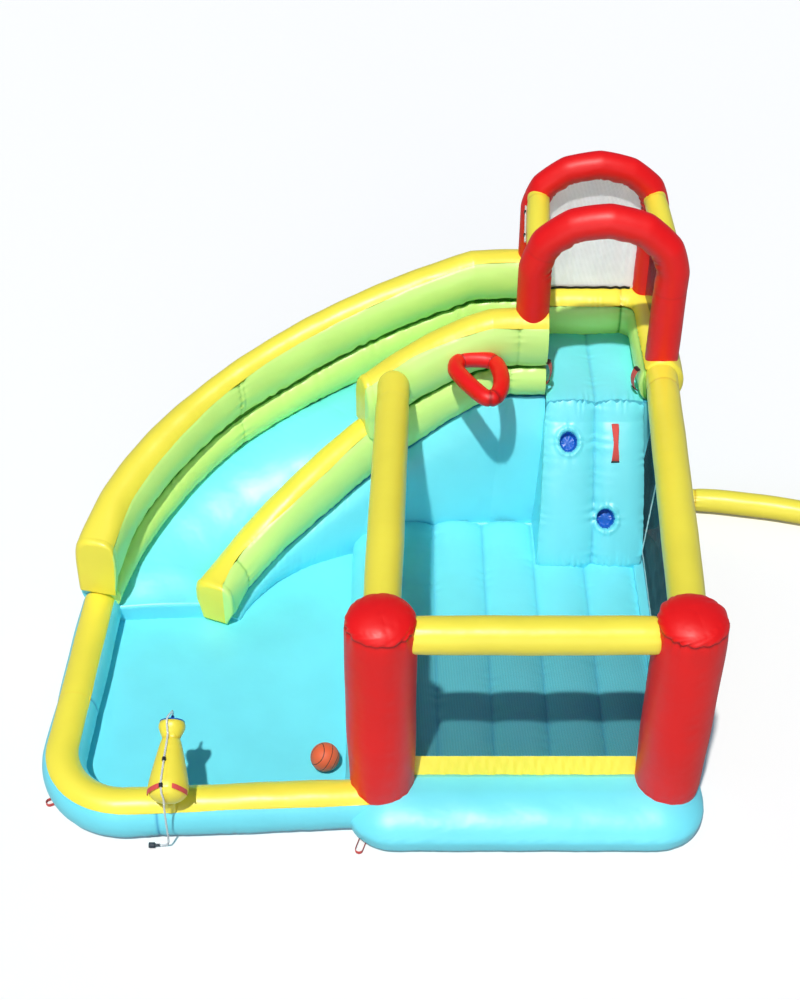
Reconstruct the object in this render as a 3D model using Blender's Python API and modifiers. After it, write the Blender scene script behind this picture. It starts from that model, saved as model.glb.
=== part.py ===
"""Inflatable bounce house with a climbing wall, a curved water slide, a splash pool and a water cannon.

Metres, +Z up. The origin is the centre of the bounce base's underside. +X runs to the right and +Y to
the back, seen by someone who stands in front of the bounce area. Each inflated chamber, net, strap and
fitting is an object of its own. A chamber that leans on another is cut to its neighbour's shape, so that
the two lie against each other with a hair's breadth between them.
"""

import math

import bmesh
import bpy
from mathutils import Matrix, Vector

# Clearances
GAP = 0.0003
GROWTH = 2 * GAP
CHAMBER_GAP = 0.0016
PIVOT_CLEARANCE = 0.002

# Bounce base and its floor
BASE_WIDTH = 2.155
BASE_DEPTH = 2.79
BASE_HEIGHT = 0.28
BASE_CORNER = 0.30
BASE_EDGE = 0.27
BASE_FOOT = 0.04
FLOOR_WIDTH = 1.70
FLOOR_FRONT = 0.39
FLOOR_BACK = 0.115
FLOOR_RECESS = 0.12
FLOOR_BEAMS = 5
FLOOR_CREASE = 0.035

# Corner posts and rails of the bounce area
POST_SPACING = 1.70
POST_RADIUS = 0.193
POST_SETBACK = 0.37
POST_TOP = 1.70
RAIL_RADIUS = 0.107
FRONT_RAIL_HEIGHT = 1.497
SIDE_RAIL_DROP = 0.06
LEFT_RAIL_SHIFT = 0.065
RIGHT_RAIL_SHIFT = 0.15

# Tower with its platform
TOWER_LEFT = 0.2425
TOWER_WIDTH = 0.90
TOWER_FRONT = 1.455
TOWER_DEPTH = 1.04
PLATFORM_HEIGHT = 1.20
PLATFORM_CUSHION = 0.035
WALL_RADIUS = 0.15
TOWER_WALL_HEIGHT = 0.30
TOWER_CORNER = 0.20

# Climbing wall
CLIMB_FOOT = 0.785
CLIMB_WIDTH = 0.66
CLIMB_FLARE = 0.06
CLIMB_CROWN = 0.035
CLIMB_COLUMNS = 2
POCKET_RADIUS = 0.063
POCKET_DEPTH = 0.07

# Slide: every curve is a quarter ellipse about one centre, from the pool to the tower
SLIDE_CENTRE = Vector((0.1075, 0.155))
SLIDE_END = 0.535
OUTER_REACH = Vector((2.90, 2.17))
OUTER_SAG = 0.03
INNER_REACH = Vector((2.16, 1.47))
FOOT_REACH = Vector((1.99, 1.15))
FOOT_SQUARENESS = 2.6
LANE_END = 0.12
LANE_DROP = 0.03
OUTER_WALL_END = 0.77
OUTER_WALL_TOP = 1.80
OUTER_HALF_WIDTH = (0.12, 0.15)
INNER_HALF_WIDTH = (0.14, 0.15)
OUTER_UPPER_TUBE = 0.34
INNER_UPPER_TUBE = 0.39
OUTER_GREEN_TO = (38.0, 56.0)
INNER_LOW_GREEN_TO = 56.0
INNER_HIGH_GREEN_TO = 54.0
INNER_LOW_TOP = 0.26
INNER_STEP = 0.607
LOW_STATIONS = 12
HIGH_STATIONS = 9

# Pool
POOL_WALL_HEIGHT = 0.30
POOL_WALL_HALF = 0.13
POOL_FLOOR = 0.03
POOL_CORNER = 0.42
POOL_LEFT = -2.80
POOL_SETBACK = 0.22
POOL_FRONT = POOL_SETBACK - BASE_DEPTH / 2
POOL_FRONT_END = POOL_FRONT + 0.07

# Arches over the platform
ARCH_RADIUS = 0.11
ARCH_LEGS = (0.13, 1.005)
ARCH_SPRING = 2.12
ARCH_TOP = 2.49
REAR_ARCH_RADIUS = 0.095
REAR_ARCH_LEGS = (0.165, 0.975)
REAR_ARCH_SPRING = 2.16
REAR_ARCH_TOP = 2.475
ROOF_TUBE_RADIUS = 0.075
ROOF_TUBE_FRONT = 2.20
ROOF_TUBE_REAR = 2.26

# Water cannon, measured along its barrel from the belly's centre
CANNON_PLACE = Vector((-2.085, POOL_FRONT - 0.07, 0.458))
CANNON_ELEVATION = 23.0
CANNON_BELLY = 0.12
CANNON_REAR = 0.095
CANNON_NECK = 0.0575
CANNON_NECK_AT = 0.29
CANNON_HEAD = 0.079
CANNON_LENGTH = 0.39
CANNON_STALK = 0.035
CAP_THICKNESS = 0.012
HOSE_RADIUS = 0.006
HOSE_TURN = -12.0
HOSE_REST = 0.003
HOSE_SEAM = -0.045
FITTING_LENGTH = 0.03
CONNECTOR_RADIUS = 0.017
CONNECTOR_TAIL = 0.05
CONNECTOR_HEIGHT = CONNECTOR_RADIUS + 0.001
CONNECTOR_PLACE = Vector((-2.215, POOL_FRONT - 0.15))

# Nets and webbing
SHEET = 0.004
WEBBING = 0.003
WEBBING_WIDTH = 0.05

# Ball
BALL_RADIUS = 0.09
BALL_CLEARANCE = 0.037
BALL_PLACE = Vector((-BASE_WIDTH / 2 - BALL_RADIUS - BALL_CLEARANCE, -0.74))

# Hoop for the ball: its outline is given in shares of its length
HOOP_LENGTH = 0.43
HOOP_TUBE = 0.047
HOOP_DROP = 0.27

# Inflation sleeve
SLEEVE_RADIUS = 0.085
SLEEVE_SKIN = 0.006
SLEEVE_START = Vector((TOWER_LEFT + TOWER_WIDTH - 0.0425, TOWER_FRONT + 0.255))
SLEEVE_LENGTH = 1.24
SLEEVE_DRIFT = 0.19

BLUE = (0.09, 0.72, 0.94)
GREEN = (0.33, 0.86, 0.06)
YELLOW = (0.97, 0.83, 0.04)
RED = (0.91, 0.01, 0.01)
NET = (0.005, 0.011, 0.024)
WHITE = (0.78, 0.78, 0.80)
STRAP = (0.80, 0.07, 0.06)
BLACK = (0.01, 0.01, 0.012)
FITTING = (0.01, 0.11, 0.53)
CLEAR = (0.75, 0.80, 0.82)
ORANGE = (0.86, 0.15, 0.04)


def clear_scene():
    """Remove every object of the startup scene."""
    for item in list(bpy.data.objects):
        bpy.data.objects.remove(item, do_unlink=True)


def collection(name):
    """Make a collection in the scene."""
    made = bpy.data.collections.new(name)
    bpy.context.scene.collection.children.link(made)
    return made


clear_scene()
PARTS = collection("bounce_house")
CUTTERS = collection("cutters")


def material(name, colour, roughness, alpha=1.0):
    """Make a Principled material with one colour."""
    made = bpy.data.materials.new(name)
    made.use_nodes = True
    shader = made.node_tree.nodes["Principled BSDF"]
    shader.inputs["Base Color"].default_value = (*colour, 1.0)
    shader.inputs["Roughness"].default_value = roughness
    shader.inputs["Metallic"].default_value = 0.0
    shader.inputs["Alpha"].default_value = alpha
    return made


BLUE_CLOTH = material("coated_cloth_blue", BLUE, 0.42)
GREEN_CLOTH = material("coated_cloth_green", GREEN, 0.42)
YELLOW_CLOTH = material("coated_cloth_yellow", YELLOW, 0.42)
RED_CLOTH = material("coated_cloth_red", RED, 0.40)
DARK_NET = material("dark_net", NET, 0.8)
WHITE_MESH = material("white_mesh", WHITE, 0.7)
RED_WEBBING = material("red_webbing", STRAP, 0.75)
BLACK_WEBBING = material("black_webbing", BLACK, 0.8)
BLUE_PLASTIC = material("blue_plastic", FITTING, 0.35)
CLEAR_HOSE = material("clear_hose", CLEAR, 0.2, 0.5)
BALL_RUBBER = material("ball_rubber", ORANGE, 0.6)


def mesh_object(name, build, finish, into=PARTS):
    """Make an object from a function that fills a bmesh."""
    mesh = bpy.data.meshes.new(name)
    shape = bmesh.new()
    build(shape)
    if shape.faces:
        face_outwards(shape)
    shape.to_mesh(mesh)
    shape.free()
    mesh.materials.append(finish)
    mesh.shade_smooth()
    mesh.set_sharp_from_angle(angle=math.radians(50))
    made = bpy.data.objects.new(name, mesh)
    into.objects.link(made)
    return made


def loft(name, rings, finish, into=PARTS):
    """Join rings of equally many points into one closed body with flat ends."""

    def build(shape):
        loops = [[shape.verts.new(point) for point in ring] for ring in rings]
        for first, second in zip(loops, loops[1:]):
            for index in range(len(first)):
                after = (index + 1) % len(first)
                shape.faces.new((first[index], first[after], second[after], second[index]))
        shape.faces.new(reversed(loops[0]))
        shape.faces.new(loops[-1])

    return mesh_object(name, build, finish, into)


def curve_to_mesh(name, curve_object, finish):
    """Turn a curve with a bevel into a closed mesh object in the same place."""
    graph = bpy.context.evaluated_depsgraph_get()
    mesh = bpy.data.meshes.new_from_object(curve_object.evaluated_get(graph))
    shape = bmesh.new()
    shape.from_mesh(mesh)
    bmesh.ops.remove_doubles(shape, verts=shape.verts, dist=0.00005)
    face_outwards(shape)
    shape.to_mesh(mesh)
    shape.free()
    mesh.materials.clear()
    mesh.materials.append(finish)
    mesh.shade_smooth()
    mesh.set_sharp_from_angle(angle=math.radians(50))
    made = bpy.data.objects.new(name, mesh)
    made.matrix_world = curve_object.matrix_world
    PARTS.objects.link(made)
    bpy.data.objects.remove(curve_object, do_unlink=True)
    return made


def tube(name, points, radius, finish, resolution=4, cyclic=False, radii=None):
    """A round tube along points, as a curve with a bevel, made mesh."""
    curve = bpy.data.curves.new(name, "CURVE")
    curve.dimensions = "3D"
    curve.bevel_depth = radius
    curve.bevel_resolution = resolution
    curve.use_fill_caps = not cyclic
    spline = curve.splines.new("POLY")
    spline.points.add(len(points) - 1)
    for index, point in enumerate(points):
        spline.points[index].co = (*point, 1.0)
        spline.points[index].radius = radii[index] if radii else 1.0
    spline.use_cyclic_u = cyclic
    guide = bpy.data.objects.new(name + "_guide", curve)
    PARTS.objects.link(guide)
    return curve_to_mesh(name, guide, finish)


def turned(name, profile, finish, steps=24):
    """A turned body: a profile of (radius, height) from top to bottom, with a Screw modifier."""

    def build(shape):
        closed = profile[0] == profile[-1]
        outline = profile[:-1] if closed else profile
        ring = [shape.verts.new((radius, 0.0, height)) for radius, height in outline]
        for first, second in zip(ring, ring[1:] + ring[:1] if closed else ring[1:]):
            shape.edges.new((first, second))

    made = mesh_object(name, build, finish)
    screw = made.modifiers.new("turn", "SCREW")
    screw.steps = steps
    screw.render_steps = steps
    screw.use_merge_vertices = True
    screw.merge_threshold = 0.00005
    screw.use_smooth_shade = True
    return made


def face_outwards(shape):
    """Turn all the faces of a closed bmesh outwards."""
    bmesh.ops.recalc_face_normals(shape, faces=shape.faces)
    if shape.calc_volume(signed=True) < 0:
        bmesh.ops.reverse_faces(shape, faces=shape.faces)


def applied(made):
    """Replace an object's mesh by its evaluated one, without modifiers."""
    bpy.context.view_layer.update()
    graph = bpy.context.evaluated_depsgraph_get()
    mesh = bpy.data.meshes.new_from_object(made.evaluated_get(graph))
    shape = bmesh.new()
    shape.from_mesh(mesh)
    face_outwards(shape)
    shape.to_mesh(mesh)
    shape.free()
    made.modifiers.clear()
    made.data = mesh
    return made


def placed(made, place, turn=None):
    """Put an object at a place with a rotation."""
    made.matrix_world = Matrix.Translation(place) @ (turn or Matrix.Identity(4))
    return made


def pivoted(made, place):
    """Move an object's origin to a place, without moving its shape."""
    made.data.transform(Matrix.Translation(-place) @ made.matrix_world)
    made.matrix_world = Matrix.Translation(place)
    return made


def seat(made, *neighbours, growth=GROWTH):
    """Cut an object where its neighbours are, so that it lies against them with a small gap."""
    bpy.context.view_layer.update()
    graph = bpy.context.evaluated_depsgraph_get()
    for neighbour in neighbours:
        mesh = bpy.data.meshes.new_from_object(neighbour.evaluated_get(graph))
        cutter = bpy.data.objects.new(f"{made.name}_minus_{neighbour.name}", mesh)
        cutter.matrix_world = neighbour.matrix_world
        cutter.hide_render = True
        cutter.display_type = "WIRE"
        CUTTERS.objects.link(cutter)
        grow = cutter.modifiers.new("grow", "DISPLACE")
        grow.strength = growth
        grow.mid_level = 0.0
        cut = made.modifiers.new("seat", "BOOLEAN")
        cut.operation = "DIFFERENCE"
        cut.object = cutter
    return largest(applied(made))


def largest(made):
    """Keep only the biggest of an object's loose pieces: a cut can leave a scrap inside a neighbour."""
    shape = bmesh.new()
    shape.from_mesh(made.data)
    shape.verts.ensure_lookup_table()
    group_of = {}
    groups = []
    for start in shape.verts:
        if start.index in group_of:
            continue
        group = [start]
        group_of[start.index] = len(groups)
        for vert in group:
            for edge in vert.link_edges:
                other = edge.other_vert(vert)
                if other.index not in group_of:
                    group_of[other.index] = len(groups)
                    group.append(other)
        groups.append(group)

    def extent(group):
        return sum(max(v.co[i] for v in group) - min(v.co[i] for v in group) for i in range(3))

    kept = max(groups, key=extent)
    scraps = [vert for group in groups if group is not kept for vert in group]
    bmesh.ops.delete(shape, geom=scraps, context="VERTS")
    face_outwards(shape)
    shape.to_mesh(made.data)
    shape.free()
    return made


def smoothstep(value):
    """Ease from 0 to 1."""
    value = min(1.0, max(0.0, value))
    return value * value * (3 - 2 * value)


def mix(low, high, share):
    """Go from low to high by a share."""
    return low + (high - low) * share


def spread(count):
    """Shares from 0 to 1, both included."""
    return [index / (count - 1) for index in range(count)]


def arc(start, end, count):
    """Angles in radians from start to end degrees."""
    return [math.radians(mix(start, end, share)) for share in spread(count)]


def smooth_route(points, steps):
    """A smooth curve through points, with a number of steps between each two."""
    points = [Vector(point) for point in points]
    ends = [2 * points[0] - points[1], *points, 2 * points[-1] - points[-2]]
    route = []
    for before, first, second, after in zip(ends, ends[1:], ends[2:], ends[3:]):
        for step in range(steps):
            share = step / steps
            route.append(
                0.5
                * (
                    2 * first
                    + (second - before) * share
                    + (2 * before - 5 * first + 4 * second - after) * share**2
                    + (3 * first - before - 3 * second + after) * share**3
                )
            )
    route.append(points[-1])
    return route


def closed_route(points, steps):
    """A smooth closed curve through points."""
    count = len(points)
    wrapped = [points[(index - 2) % count] for index in range(count + 5)]
    route = smooth_route(wrapped, steps)
    return route[2 * steps : (count + 2) * steps]


# Base


def rounded_outline(half_x, half_y, radius, corner_points=6):
    """Points of a rectangle with round corners, anticlockwise."""
    outline = []
    centres = ((1, 1, 0), (-1, 1, 90), (-1, -1, 180), (1, -1, 270))
    for side_x, side_y, start in centres:
        for angle in arc(start, start + 90, corner_points):
            x = side_x * (half_x - radius) + radius * math.cos(angle)
            y = side_y * (half_y - radius) + radius * math.sin(angle)
            outline.append((x, y))
    return outline


def cushion(name, width, depth, height, corner, edge, foot, finish, rings=5):
    """A slab with round corners, a rounded upper edge and sides that bulge out over the foot."""
    layers = [(foot, 0.0), (foot * 0.35, height * 0.13), (0.0, height * 0.42)]
    for angle in arc(0, 90, rings)[1:]:
        inset = edge * (1 - math.cos(angle) ** 1.25)
        layers.append((inset, height * mix(0.42, 1.0, math.sin(angle) ** 1.25)))
    stack = []
    for inset, z in layers:
        outline = rounded_outline(width / 2 - inset, depth / 2 - inset, max(corner - inset, 0.02))
        stack.append([(x, y, z) for x, y in outline])
    return loft(name, stack, finish)


def make_base():
    """The base under the bounce area, with a recess for the floor beams."""
    base = cushion(
        "bounce_base", BASE_WIDTH, BASE_DEPTH, BASE_HEIGHT, BASE_CORNER, BASE_EDGE, BASE_FOOT, BLUE_CLOTH
    )
    depth = BASE_DEPTH - FLOOR_FRONT - FLOOR_BACK
    middle = (FLOOR_FRONT - FLOOR_BACK) / 2
    corners = [(-1, -1), (1, -1), (1, 1), (-1, 1)]
    recess = loft(
        "floor_recess",
        [
            [(x * FLOOR_WIDTH / 2, middle + y * depth / 2, z) for x, y in corners]
            for z in (BASE_HEIGHT - FLOOR_RECESS, BASE_HEIGHT + 0.1)
        ],
        BLUE_CLOTH,
        CUTTERS,
    )
    recess.hide_render = True
    recess.display_type = "WIRE"
    cut = base.modifiers.new("recess", "BOOLEAN")
    cut.operation = "DIFFERENCE"
    cut.object = recess
    return applied(base)


def make_floor():
    """The floor of the bounce area: beams side by side that run from front to back."""
    beam = (FLOOR_WIDTH - 2 * GAP) / FLOOR_BEAMS
    left = -FLOOR_WIDTH / 2 + GAP
    bottom = BASE_HEIGHT - FLOOR_RECESS + GAP
    outline = [(left, bottom), (left + FLOOR_BEAMS * beam, bottom)]
    for index in reversed(range(FLOOR_BEAMS)):
        for share in reversed(spread(9)[:-1] if index < FLOOR_BEAMS - 1 else spread(9)):
            sag = abs(2 * share - 1) ** 2.4
            outline.append((left + (index + share) * beam, BASE_HEIGHT - FLOOR_CREASE * sag))
    front = -BASE_DEPTH / 2 + FLOOR_FRONT + GAP
    back = BASE_DEPTH / 2 - FLOOR_BACK - GAP
    return loft(
        "bounce_floor", [[(x, y, z) for x, z in outline] for y in (front, back)], BLUE_CLOTH
    )


# Posts and rails


def make_post(name, side, *below):
    """A red corner post with a domed top, standing on the base's rounded corner."""
    top = POST_TOP
    profile = [(0.0, top)]
    profile += [
        (POST_RADIUS * math.sin(angle), top - 0.10 * (1 - math.cos(angle)))
        for angle in arc(15, 90, 6)
    ]
    profile += [
        (POST_RADIUS * 1.02, top - 0.45),
        (POST_RADIUS * 1.02, 0.8),
        (POST_RADIUS * 0.98, BASE_HEIGHT),
        (POST_RADIUS * 0.90, BASE_HEIGHT - 0.12),
        (0.0, BASE_HEIGHT - 0.12),
    ]
    post = turned(name, profile, RED_CLOTH)
    placed(post, Vector((side * POST_SPACING / 2, POST_SETBACK - BASE_DEPTH / 2, 0)))
    return seat(applied(post), *below)


def make_rail(name, start, end, dome=False):
    """A yellow rail from start to end, with a domed far end where it rests against a wall."""
    start = Vector(start)
    end = Vector(end)
    along = (end - start).normalized()
    points = [start, start.lerp(end, 0.5), end]
    radii = [1.0, 1.03, 1.0]
    if dome:
        points += [end + along * RAIL_RADIUS * math.sin(angle) for angle in arc(30, 84, 4)]
        radii += [math.cos(angle) for angle in arc(30, 84, 4)]
    return tube(name, points, RAIL_RADIUS, YELLOW_CLOTH, 6, radii=radii)


# Slide


def slide_share(s):
    """How far up the slide a station is, from 0 at the pool to 1 on the platform's level."""
    return min(1.0, 1.096 * s)


def lane_rise(s):
    """The lane's share of its whole rise at a station."""
    share = slide_share(s)
    return 0.5 * share**1.15 + 0.5 * smoothstep(share)


def outer_lane_height(s):
    """Height of the lane beside the outer wall."""
    return mix(LANE_END, PLATFORM_HEIGHT, lane_rise(s))


def inner_lane_height(s):
    """Height of the lane beside the inner wall: lower in the bend, because the lane banks."""
    return mix(LANE_END, PLATFORM_HEIGHT, lane_rise(s) ** 1.2)


def outer_top_height(s):
    """Height of the outer wall's top."""
    share = slide_share(s)
    return mix(OUTER_WALL_END, OUTER_WALL_TOP, share) - OUTER_SAG * math.sin(math.pi * share)


def inner_top_height(s):
    """Height of the inner wall's top on its upper run, where it is two tubes high."""
    return inner_lane_height(s) + OUTER_WALL_TOP - PLATFORM_HEIGHT


def slide_place(reach, s, squareness=2.0):
    """A point of one of the slide's curves and the plan direction square to it, away from the centre.

    s goes from 0 at the pool to 1 at the back, and then straight on towards the tower."""
    lowest = math.asin(((SLIDE_END - SLIDE_CENTRE.y) / reach.y) ** (squareness / 2))
    angle = mix(lowest, math.pi / 2, min(s, 1.0))
    x = -reach.x * max(math.cos(angle), 0.0) ** (2 / squareness)
    y = reach.y * math.sin(angle) ** (2 / squareness)
    out = Vector((-math.cos(angle) * reach.y, math.sin(angle) * reach.x)).normalized()
    place = SLIDE_CENTRE + Vector((x, y))
    if s > 1.0:
        place.x = mix(SLIDE_CENTRE.x, TOWER_LEFT - GAP, s - 1.0)
    return place, out


def stations(first, last, count):
    """Station values along the slide, where 2 is the tower's side."""
    return [mix(first, last, share) for share in spread(count)]


def low_run():
    """Stations of the inner wall's lower run."""
    return stations(0.0, INNER_STEP - 0.002, LOW_STATIONS)


def high_run():
    """Stations of the inner wall's upper run."""
    return [*stations(INNER_STEP + 0.002, 1.0, HIGH_STATIONS), 1.5, 1.94]


def whole_slide():
    """Stations from the pool to the tower."""
    return [*low_run(), *high_run()[:-1], 2.0]


def forward(rings, distance=0.012):
    """Lengthen a loft at the pool end, so that it reaches into the rounded end."""
    return [[point[:1] + (point[1] - distance,) + point[2:] for point in rings[0]], *rings]


def wall_ring(reach, s, points, toward_lane):
    """Place section points (towards the lane, up) on a wall's curve."""
    place, out = slide_place(reach, s)
    side = out * toward_lane
    return [(place.x + side.x * across, place.y + side.y * across, up) for across, up in points]


def barrel_section(half, bottom, top, start, end, count=7):
    """Section of a tube that is pressed flat above and below, from one angle to another."""
    middle = (bottom + top) / 2
    tall = (top - bottom) / 2 / 0.8
    return [(half * math.cos(a), middle + tall * math.sin(a)) for a in arc(start, end, count)]


def crest_section(half, bottom, start, end, count, height):
    """Section of a tube that is pressed flat below only, from one angle to another."""
    tall = height / 1.8
    middle = bottom + 0.8 * tall
    return [(half * math.cos(a), middle + tall * math.sin(a)) for a in arc(start, end, count)]


FLAT = 53.13
GREEN_TO = 38.0


def outer_green_to(s):
    """Angle of the seam between green and yellow on the outer wall: it climbs towards the tower."""
    return mix(*OUTER_GREEN_TO, smoothstep((s - 0.7) / 0.25))



def domed(rings, first=True, last=True, reach=0.05):
    """Round off the ends of a loft by adding smaller rings past its first and last one."""
    done = list(rings)
    for at_start in (True, False):
        if not (first if at_start else last):
            continue
        ring = done[0] if at_start else done[-1]
        inner = done[1] if at_start else done[-2]
        centre = sum((Vector(point) for point in ring), Vector()) / len(ring)
        behind = sum((Vector(point) for point in inner), Vector()) / len(inner)
        outward = centre - behind
        outward.z = 0.0
        outward.normalize()
        caps = []
        for angle in arc(35, 80, 3):
            middle = centre + outward * reach * math.sin(angle)
            caps.append(
                [middle + (Vector(point) - centre) * mix(0.55, 1.0, math.cos(angle)) for point in ring]
            )
        done = [*reversed(caps), *done] if at_start else [*done, *caps]
    return done


def outer_half(s):
    """Half the outer wall's thickness."""
    return mix(*OUTER_HALF_WIDTH, min(s, 1.0))


def inner_half(s):
    """Half the inner wall's thickness."""
    return mix(*INNER_HALF_WIDTH, min(s, 1.0))


def outer_crease(s):
    """Height where the outer wall's two tubes lie on each other."""
    return outer_top_height(s) - OUTER_UPPER_TUBE


def inner_crease(s):
    """Height where the inner wall's two tubes lie on each other."""
    return inner_top_height(s) - INNER_UPPER_TUBE


def make_slide_body(*below):
    """The big chamber under the slide, which also is the back wall of the bounce area."""
    rings = []
    for s in whole_slide():
        foot, _ = slide_place(FOOT_REACH, s, FOOT_SQUARENESS)
        inner, inner_out = slide_place(INNER_REACH, s)
        outer, outer_out = slide_place(OUTER_REACH, s)
        low = inner_lane_height(s) - LANE_DROP - CHAMBER_GAP
        high = outer_lane_height(s) - LANE_DROP - CHAMBER_GAP
        pool_edge = inner - inner_out * 0.62 * inner_half(s)
        lane_inner = inner + inner_out * 0.62 * inner_half(s)
        lane_outer = outer - outer_out * 0.62 * outer_half(s)
        back_edge = outer + outer_out * 0.62 * outer_half(s)
        back_side = outer + outer_out * (outer_half(s) + 0.035)
        back_foot = outer + outer_out * outer_half(s)
        under_lane = []
        for share in spread(9):
            under_lane.append((*lane_inner.lerp(lane_outer, share), mix(low, high, share)))
        rings.append(
            [
                (*foot, 0.0),
                (*(foot.lerp(pool_edge, 0.15) - inner_out * 0.03), low * 0.35),
                (*(foot.lerp(pool_edge, 0.55) - inner_out * 0.03), low * 0.75),
                (*pool_edge, low),
                *under_lane,
                (*back_edge, high),
                (*back_side.lerp(back_edge, 0.25), high * 0.85),
                (*back_side, high * 0.45),
                (*back_side.lerp(back_foot, 0.4), high * 0.15),
                (*back_foot, 0.0),
            ]
        )
    body = loft("slide_body", rings, BLUE_CLOTH)
    return seat(body, *below)


def make_lane(*walls):
    """The sliding surface: one long panel between the two walls, crowned between them."""
    rings = []
    for s in whole_slide():
        inner, inner_out = slide_place(INNER_REACH, s)
        outer, outer_out = slide_place(OUTER_REACH, s)
        first = inner + inner_out * 0.62 * inner_half(s)
        second = outer - outer_out * 0.62 * outer_half(s)
        low = inner_lane_height(s) - LANE_DROP + GAP
        high = outer_lane_height(s) - LANE_DROP + GAP
        lip = 0.5 + 0.5 * smoothstep(s / 0.06)
        ring = []
        for share in spread(9):
            crown = (0.012 + 0.05 * (1 - abs(2 * share - 1) ** 2.2)) * lip
            ring.append((*first.lerp(second, share), mix(low, high, share) + crown))
        for share in reversed(spread(9)):
            ring.append((*first.lerp(second, share), mix(low, high, share)))
        rings.append(ring)
    return seat(loft("slide_lane", rings, BLUE_CLOTH), *walls)


def make_outer_wall():
    """The outer wall of the slide: a lower and an upper tube, each sewn from two colours."""
    lower = {"outer_wall_lower_inside": [], "outer_wall_lower_outside": []}
    upper = {"outer_wall_upper_inside": [], "outer_wall_crest": []}
    for s in whole_slide():
        half = outer_half(s)
        bottom = outer_lane_height(s) - LANE_DROP + GAP
        crease = outer_crease(s)
        inside = barrel_section(half, bottom, crease - GAP, -FLAT, FLAT)
        outside = barrel_section(half + 0.025, bottom, crease - GAP, FLAT, -FLAT)
        inside += [(GAP, crease - GAP), (GAP, bottom)]
        outside += [(GAP, bottom), (GAP, crease - GAP)]
        lower["outer_wall_lower_inside"].append(wall_ring(OUTER_REACH, s, inside, -1))
        lower["outer_wall_lower_outside"].append(wall_ring(OUTER_REACH, s, outside, 1))
        seam = outer_green_to(s)
        green = crest_section(half, crease, -FLAT, seam, 7, OUTER_UPPER_TUBE)
        yellow = crest_section(half, crease, seam, 180 + FLAT, 11, OUTER_UPPER_TUBE)
        green.append(crest_section(half, crease, 180 + FLAT, 180 + FLAT, 2, OUTER_UPPER_TUBE)[0])
        shift = 2 * GAP
        yellow = [(across - shift, up + shift) for across, up in yellow]
        upper["outer_wall_upper_inside"].append(wall_ring(OUTER_REACH, s, green, -1))
        upper["outer_wall_crest"].append(wall_ring(OUTER_REACH, s, yellow, -1))
    finishes = {
        "outer_wall_lower_inside": GREEN_CLOTH,
        "outer_wall_lower_outside": BLUE_CLOTH,
        "outer_wall_upper_inside": GREEN_CLOTH,
        "outer_wall_crest": YELLOW_CLOTH,
    }
    upper["outer_wall_crest"] = forward(upper["outer_wall_crest"])
    return [loft(name, rings, finishes[name]) for name, rings in {**lower, **upper}.items()]


def make_inner_low_run():
    """The inner wall's lower run: one tube, green towards the pool and yellow on top."""
    green_rings = []
    yellow_rings = []
    for s in low_run():
        half = inner_half(s)
        bottom = inner_lane_height(s) - LANE_DROP + GAP
        height = inner_lane_height(s) + INNER_LOW_TOP - bottom
        green = crest_section(half, bottom, -FLAT, INNER_LOW_GREEN_TO, 7, height)
        green.append(crest_section(half, bottom, 180 + FLAT, 180 + FLAT, 2, height)[0])
        yellow = crest_section(half, bottom, INNER_LOW_GREEN_TO, 180 + FLAT, 11, height)
        yellow = [(across - 2 * GAP, up + 2 * GAP) for across, up in yellow]
        green_rings.append(wall_ring(INNER_REACH, s, green, -1))
        yellow_rings.append(wall_ring(INNER_REACH, s, yellow, -1))
    return [
        loft("inner_wall_low_side", green_rings, GREEN_CLOTH),
        loft("inner_wall_low_crest", forward(yellow_rings), YELLOW_CLOTH),
    ]


def make_inner_high_run():
    """The inner wall's upper run: two tubes, with a step down to the lower run."""
    lower = []
    green_rings = []
    yellow_rings = []
    for s in high_run():
        half = inner_half(s)
        bottom = inner_lane_height(s) - LANE_DROP + GAP
        crease = inner_crease(s)
        section = barrel_section(half, bottom, crease - GAP, -FLAT, FLAT)
        section += barrel_section(half, bottom, crease - GAP, 180 - FLAT, 180 + FLAT)
        lower.append(wall_ring(INNER_REACH, s, section, -1))
        green = crest_section(half, crease, -FLAT, INNER_HIGH_GREEN_TO, 7, INNER_UPPER_TUBE)
        yellow = crest_section(half, crease, INNER_HIGH_GREEN_TO, 180 + FLAT, 11, INNER_UPPER_TUBE)
        green.append(crest_section(half, crease, 180 + FLAT, 180 + FLAT, 2, INNER_UPPER_TUBE)[0])
        yellow = [(across - 2 * GAP, up + 2 * GAP) for across, up in yellow]
        green_rings.append(wall_ring(INNER_REACH, s, green, -1))
        yellow_rings.append(wall_ring(INNER_REACH, s, yellow, -1))
    return [
        loft("inner_wall_lower_tube", lower, GREEN_CLOTH),
        loft("inner_wall_upper_side", green_rings, GREEN_CLOTH),
        loft("inner_wall_crest", yellow_rings, YELLOW_CLOTH),
    ]


def make_end_pad(name, reach, half, bottom, top):
    """The rounded end of a slide wall above the pool, before it is joined to the wall's crest."""
    place, out = slide_place(reach, 0.0)
    middle = (bottom + top) / 2
    tall = (top - bottom) / 2
    rings = []
    for distance, size in ((GAP, 1.001), (0.02, 1.0), (0.045, 0.93), (0.062, 0.78), (0.070, 0.5)):
        ring = []
        for angle in arc(0, 345, 24):
            across = half * size * math.copysign(abs(math.cos(angle)) ** 0.55, math.cos(angle))
            up = tall * size * math.copysign(abs(math.sin(angle)) ** 0.75, math.sin(angle))
            ring.append((place.x + out.x * across, place.y - distance + out.y * across, middle + up))
        rings.append(ring)
    pad = loft(name, rings, YELLOW_CLOTH, CUTTERS)
    pad.hide_render = True
    pad.display_type = "WIRE"
    return pad


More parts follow.
